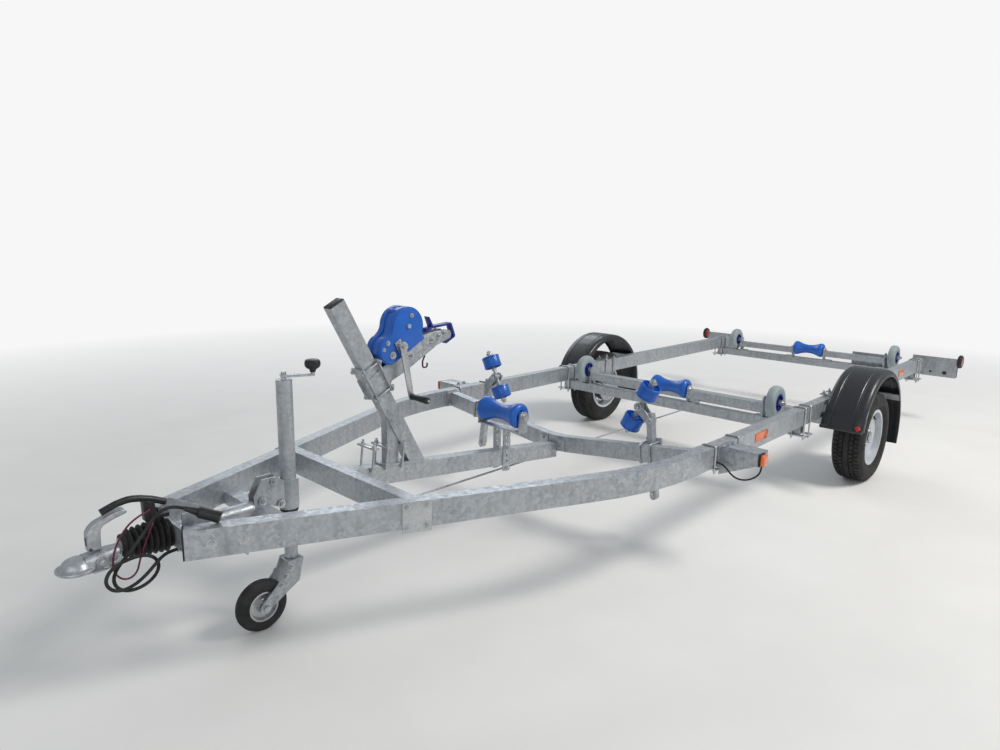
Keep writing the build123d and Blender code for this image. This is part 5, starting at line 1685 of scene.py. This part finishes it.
# Jockey wheel
class MakeJockeyCrank(bpy.types.Operator):
    """Jockey wheel crank: flat arm, spindle and black knob"""

    bl_idname = "trailer.jockey_crank"
    bl_label = "Jockey crank"

    def execute(self, context):
        low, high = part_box("jockey_crank")
        pivot = joint_place("jockey_crank_turn")[0]
        base = Vector((pivot.x, 0, 0))
        turn = radians(155)
        along = Vector((cos(turn), sin(turn), 0))
        across = Z_AXIS.cross(along)
        arm_level = high.z - 0.059
        mesh_data = bmesh.new()
        matrix = axes_matrix(base + Z_AXIS * (arm_level - 0.005), along, across, Z_AXIS)
        outline = [
            *arc_points((0.0, 0), 0.012, 90, 270, 10), *arc_points((0.105, 0), 0.0085, -90, 90, 10)
        ]
        plate(mesh_data, outline, 0.010, matrix, 0, 0.0015)
        rod(
            mesh_data, base + Z_AXIS * low.z,
            base + Z_AXIS * (arm_level - 0.004), 0.0078, 24, 0, 0.0008
        )
        bolt(mesh_data, base + Z_AXIS * (arm_level + 0.005), Z_AXIS, 0.017)
        knob_foot = base + along * 0.105
        rod(
            mesh_data, knob_foot + Z_AXIS * arm_level,
            knob_foot + Z_AXIS * (high.z - 0.028), 0.0065, 20
        )
        knob = [
            (-0.0500, 0.0), (-0.0500, 0.0090), (-0.0480, 0.0110), (-0.0420, 0.0115),
            (-0.0380, 0.0150), (-0.0330, 0.0235), (-0.0260, 0.0285), (-0.0170, 0.0298),
            (-0.0080, 0.0285), (-0.0025, 0.0235), (-0.0004, 0.0150), (0.0, 0.0),
        ]
        centre = knob_foot + Z_AXIS * high.z
        turned(mesh_data, centre, Z_AXIS, X_AXIS, knob, 40, closed=False, material=1)
        finishes = ["bright_zinc", "grip_black"]
        add_piece(
            "jockey_crank_arm", mesh_data, "jockey_crank", finishes, 32, ["jockey_crank"]
        )
        return {"FINISHED"}


class MakeJockeySealAndShade(bpy.types.Operator):
    """Flared foot of the jockey wheel's sleeve, with a black ring under it that is partly its
    rubber seal and partly painted shade under the clamp
    """

    bl_idname = "trailer.jockey_seal"
    bl_label = "Jockey seal"

    def execute(self, context):
        foot = Vector((joint_place("jockey_crank_turn")[0].x, 0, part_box("jockey_clamp")[0].z))
        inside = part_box("jockey_leg")[1].y + 0.0035
        rim = (
            (0.004, inside), (0.004, 0.0335), (0.001, 0.0365), (-0.004, 0.0375), (-0.007, 0.0360),
            (-0.007, inside),
        )
        # black ring under the flared foot: a rubber seal whose black also stands in for painted
        # shade under the clamp and rail
        seal_and_shade = (
            (-0.007, inside), (-0.007, 0.0330), (-0.011, 0.0345), (-0.016, 0.0345),
            (-0.021, 0.0325), (-0.024, 0.0300), (-0.024, inside),
        )
        mesh_data = bmesh.new()
        turned(mesh_data, foot, Z_AXIS, X_AXIS, rim, 48)
        turned(mesh_data, foot - Z_AXIS * 0.0002, Z_AXIS, X_AXIS, seal_and_shade, 48, material=1)
        finishes = ["galvanized", "rubber_black"]
        add_piece("jockey_sleeve_seal_and_shade", mesh_data, "chassis", finishes)
        return {"FINISHED"}


# Lamps: material 0 is the black housing, 1 the red lens and 2 the amber lens
def tail_lamp(mesh_data, outward, middle):
    """Tail lamp on the back of a board, with an amber and two red lenses."""
    block(mesh_data, middle, (0.044, 0.220, 0.096), None, 0.006, 0, 3)
    for place, width, material in ((-0.070, 0.066, 2), (0.0, 0.062, 1), (0.068, 0.062, 1)):
        lens = middle - X_AXIS * 0.024 + outward * place
        block(mesh_data, lens, (0.012, width, 0.084), None, 0.004, material, 3)


def side_marker(mesh_data, outward):
    """Amber side marker on the end of an outrigger."""
    marker = Vector((axle_x + 1.695, 0, rail_top - 0.030)) + outward * 1.100
    block(mesh_data, marker - outward * 0.008, (0.060, 0.008, 0.058), None, 0.002)
    block(mesh_data, marker + outward * 0.004, (0.055, 0.018, 0.053), None, 0.008, 2, 4)


def guard_marker(mesh_data, outward, wheel):
    """Round marker on the front of a mudguard."""
    turn = radians(18)
    reach = X_AXIS * cos(turn) + Z_AXIS * sin(turn)
    face = wheel + reach * 0.450 + outward * 0.096
    rod(mesh_data, face - reach * 0.005, face, 0.017, 32, 0, 0.001)
    rod(mesh_data, face, face + reach * 0.007, 0.0155, 32, 1, 0.003)


END_MARKER = (
    (-0.013, 0.0), (-0.013, 0.038), (-0.017, 0.042), (-0.012, 0.052), (-0.004, 0.055),
    (0.006, 0.055), (0.013, 0.050), (0.017, 0.042), (0.013, 0.038), (0.013, 0.0),
)


def end_marker(mesh_data, outward, middle):
    """Round marker on the end of a board: a dark ring with a red lens in each face."""
    turned(mesh_data, middle, outward, Z_AXIS, END_MARKER, 48, closed=False)
    for face in (-1, 1):
        lens = middle + outward * 0.0125 * face
        rod(mesh_data, lens, lens + outward * 0.0035 * face, 0.036, 36, 1, 0.0012)


def board_grommets(mesh_data, outward, middle):
    """Two rubber grommets in the front of a board."""
    for across, radius in ((-0.060, 0.009), (0.042, 0.016)):
        plug = middle + outward * across
        rod(mesh_data, plug - X_AXIS * 0.002, plug + X_AXIS * 0.006, radius, 28, 0, 0.0015)


def side_reflectors():
    """Amber reflectors on the rails."""
    mesh_data = bmesh.new()
    for side in HANDS.values():
        for x in (0.215, -2.385):
            middle = (x, side * (rail_outer_y + 0.0015), rail_bottom + 0.056)
            block(mesh_data, middle, (0.150, 0.003, 0.046), None, 0.0012)
    add_piece("side_reflectors", mesh_data, "chassis", ["lens_amber"])


class MakeLamps(bpy.types.Operator):
    """Tail lamps, side markers, end markers and side reflectors"""

    bl_idname = "trailer.lamps"
    bl_label = "Lamps"

    def execute(self, context):
        low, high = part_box("lamp_boards")
        mesh_data = bmesh.new()
        for hand, side in HANDS.items():
            outward = Y_AXIS * side
            board_y = side * (high.y - 0.110)
            tail_lamp(mesh_data, outward, Vector((low.x - 0.022, board_y, low.z + 0.050)))
            side_marker(mesh_data, outward)
            guard_marker(mesh_data, outward, wheel_place[hand])
            end = Vector((low.x + 0.0025, side * (high.y + 0.017), high.z - 0.020))
            end_marker(mesh_data, outward, end)
            board_grommets(mesh_data, outward, Vector((high.x, board_y, low.z + 0.052)))
        finishes = ["grip_black", "lens_red", "lens_amber"]
        add_piece("lamp_lenses", mesh_data, "chassis", finishes, 32, ["lamps"])
        side_reflectors()
        return {"FINISHED"}


# Stage
def area_light(name, place, target, size, energy, colour):
    """A large soft lamp that looks at a point."""
    lamp = bpy.data.lights.new(name, "AREA")
    lamp.shape = "RECTANGLE"
    lamp.size = size[0]
    lamp.size_y = size[1]
    lamp.energy = energy
    lamp.color = colour
    holder = bpy.data.objects.new(name, lamp)
    holder.matrix_world = facing(Vector(place) - Vector(target), place)
    bpy.context.scene.collection.objects.link(holder)


def studio_world():
    """Pale sky light, white where the camera looks at it."""
    world = bpy.data.worlds.new("studio")
    world.use_nodes = True
    tree = world.node_tree
    tree.nodes.clear()
    output = tree.nodes.new("ShaderNodeOutputWorld")
    light = tree.nodes.new("ShaderNodeBackground")
    light.inputs["Color"].default_value = (0.90, 0.95, 1.0, 1)
    light.inputs["Strength"].default_value = 0.42
    white = tree.nodes.new("ShaderNodeBackground")
    white.inputs["Color"].default_value = (0.93, 0.93, 0.93, 1)
    rays = tree.nodes.new("ShaderNodeLightPath")
    join = tree.nodes.new("ShaderNodeMixShader")
    tree.links.new(rays.outputs["Is Camera Ray"], join.inputs["Fac"])
    tree.links.new(light.outputs["Background"], join.inputs[1])
    tree.links.new(white.outputs["Background"], join.inputs[2])
    tree.links.new(join.outputs["Shader"], output.inputs["Surface"])
    return world


class SetStage(bpy.types.Operator):
    """Pale floor, soft lamps, world and camera"""

    bl_idname = "trailer.stage"
    bl_label = "Stage"

    def execute(self, context):
        scene = context.scene
        stage = scene.trailer_stage
        mesh_data = bmesh.new()
        bmesh.ops.create_circle(mesh_data, cap_ends=True, segments=96, radius=60)
        mesh = bpy.data.meshes.new("floor")
        mesh_data.to_mesh(mesh)
        mesh_data.free()
        mesh.materials.append(floor_finish("floor", stage.floor_tone))
        floor = bpy.data.objects.new("floor", mesh)
        scene.collection.objects.link(floor)
        area_light("key_lamp", (-2.5, 5.0, 6.5), (0, 0, 0.4), (2.6, 2.2), 440, (1.0, 0.97, 0.93))
        area_light("fill_lamp", (6.5, 3.0, 3.2), (1, 0, 0.5), (4, 3), 60, (0.96, 0.98, 1.0))
        area_light("rim_lamp", (-3.0, -6.0, 5.0), (0, 0, 0.4), (6, 3), 150, (0.90, 0.95, 1.0))
        scene.world = studio_world()
        turn = stage.camera_turn
        dip = stage.camera_dip
        ahead = Vector((cos(turn) * cos(dip), sin(turn) * cos(dip), -sin(dip)))
        level_right = ahead.cross(Z_AXIS).normalized()
        level_up = level_right.cross(ahead)
        right = level_right * cos(stage.camera_roll) + level_up * sin(stage.camera_roll)
        up = level_up * cos(stage.camera_roll) - level_right * sin(stage.camera_roll)
        data = bpy.data.cameras.new("camera")
        data.lens = stage.lens
        data.sensor_width = 36
        data.clip_end = 200
        camera = bpy.data.objects.new("camera", data)
        camera.matrix_world = axes_matrix(stage.camera_place, right, up, -ahead)
        scene.collection.objects.link(camera)
        scene.camera = camera
        scene.view_settings.view_transform = "Standard"
        return {"FINISHED"}


OPERATORS = (
    HangCords,
    FinishFrame,
    MakeEndCaps,
    MakeClamps,
    MakeFasteners,
    MakeBowPosts,
    MakeOutriggers,
    MakeTyres,
    MakeWheels,
    MakeMudguards,
    MakeSideRollers,
    MakeKeelRollers,
    MakeBowRollers,
    MakeWinch,
    MakeWinchArm,
    MakeCrank,
    MakeBowStop,
    MakeCoupling,
    MakeGaiter,
    MakeJockeyCrank,
    MakeJockeySealAndShade,
    MakeLamps,
    SetStage,
)


class TrailerPanel(bpy.types.Panel):
    """Sidebar panel of the trailer's pieces."""

    bl_idname = "VIEW3D_PT_trailer"
    bl_label = "Boat trailer"
    bl_space_type = "VIEW_3D"
    bl_region_type = "UI"
    bl_category = "Trailer"

    def draw(self, context):
        for operator in OPERATORS:
            self.layout.operator(operator.bl_idname)
        scene = context.scene
        for group in (scene.trailer_colours, scene.trailer_sizes, scene.trailer_stage):
            box = self.layout.box()
            for name in group.__annotations__:
                box.prop(group, name)


CLASSES = (TrailerColours, TrailerSizes, TrailerStage, *OPERATORS, TrailerPanel)


def register():
    """Adds the settings, operators and panel."""
    for item in CLASSES:
        bpy.utils.register_class(item)
    bpy.types.Scene.trailer_colours = PointerProperty(type=TrailerColours)
    bpy.types.Scene.trailer_sizes = PointerProperty(type=TrailerSizes)
    bpy.types.Scene.trailer_stage = PointerProperty(type=TrailerStage)


def unregister():
    """Takes the settings, operators and panel away."""
    del bpy.types.Scene.trailer_stage
    del bpy.types.Scene.trailer_sizes
    del bpy.types.Scene.trailer_colours
    for item in reversed(CLASSES):
        bpy.utils.unregister_class(item)


def main():
    """Makes every piece."""
    register()
    bpy.ops.trailer.cords()
    bpy.ops.trailer.frame()
    bpy.ops.trailer.end_caps()
    bpy.ops.trailer.clamps()
    bpy.ops.trailer.fasteners()
    bpy.ops.trailer.bow_posts()
    bpy.ops.trailer.outriggers()
    bpy.ops.trailer.tyres()
    bpy.ops.trailer.wheels()
    bpy.ops.trailer.mudguards()
    bpy.ops.trailer.side_rollers()
    bpy.ops.trailer.keel_rollers()
    bpy.ops.trailer.bow_rollers()
    bpy.ops.trailer.winch()
    bpy.ops.trailer.winch_arm()
    bpy.ops.trailer.crank()
    bpy.ops.trailer.bow_stop()
    bpy.ops.trailer.coupling()
    bpy.ops.trailer.gaiter()
    bpy.ops.trailer.jockey_crank()
    bpy.ops.trailer.jockey_seal()
    bpy.ops.trailer.lamps()
    bpy.ops.trailer.stage()


if __name__ == "__main__":
    main()
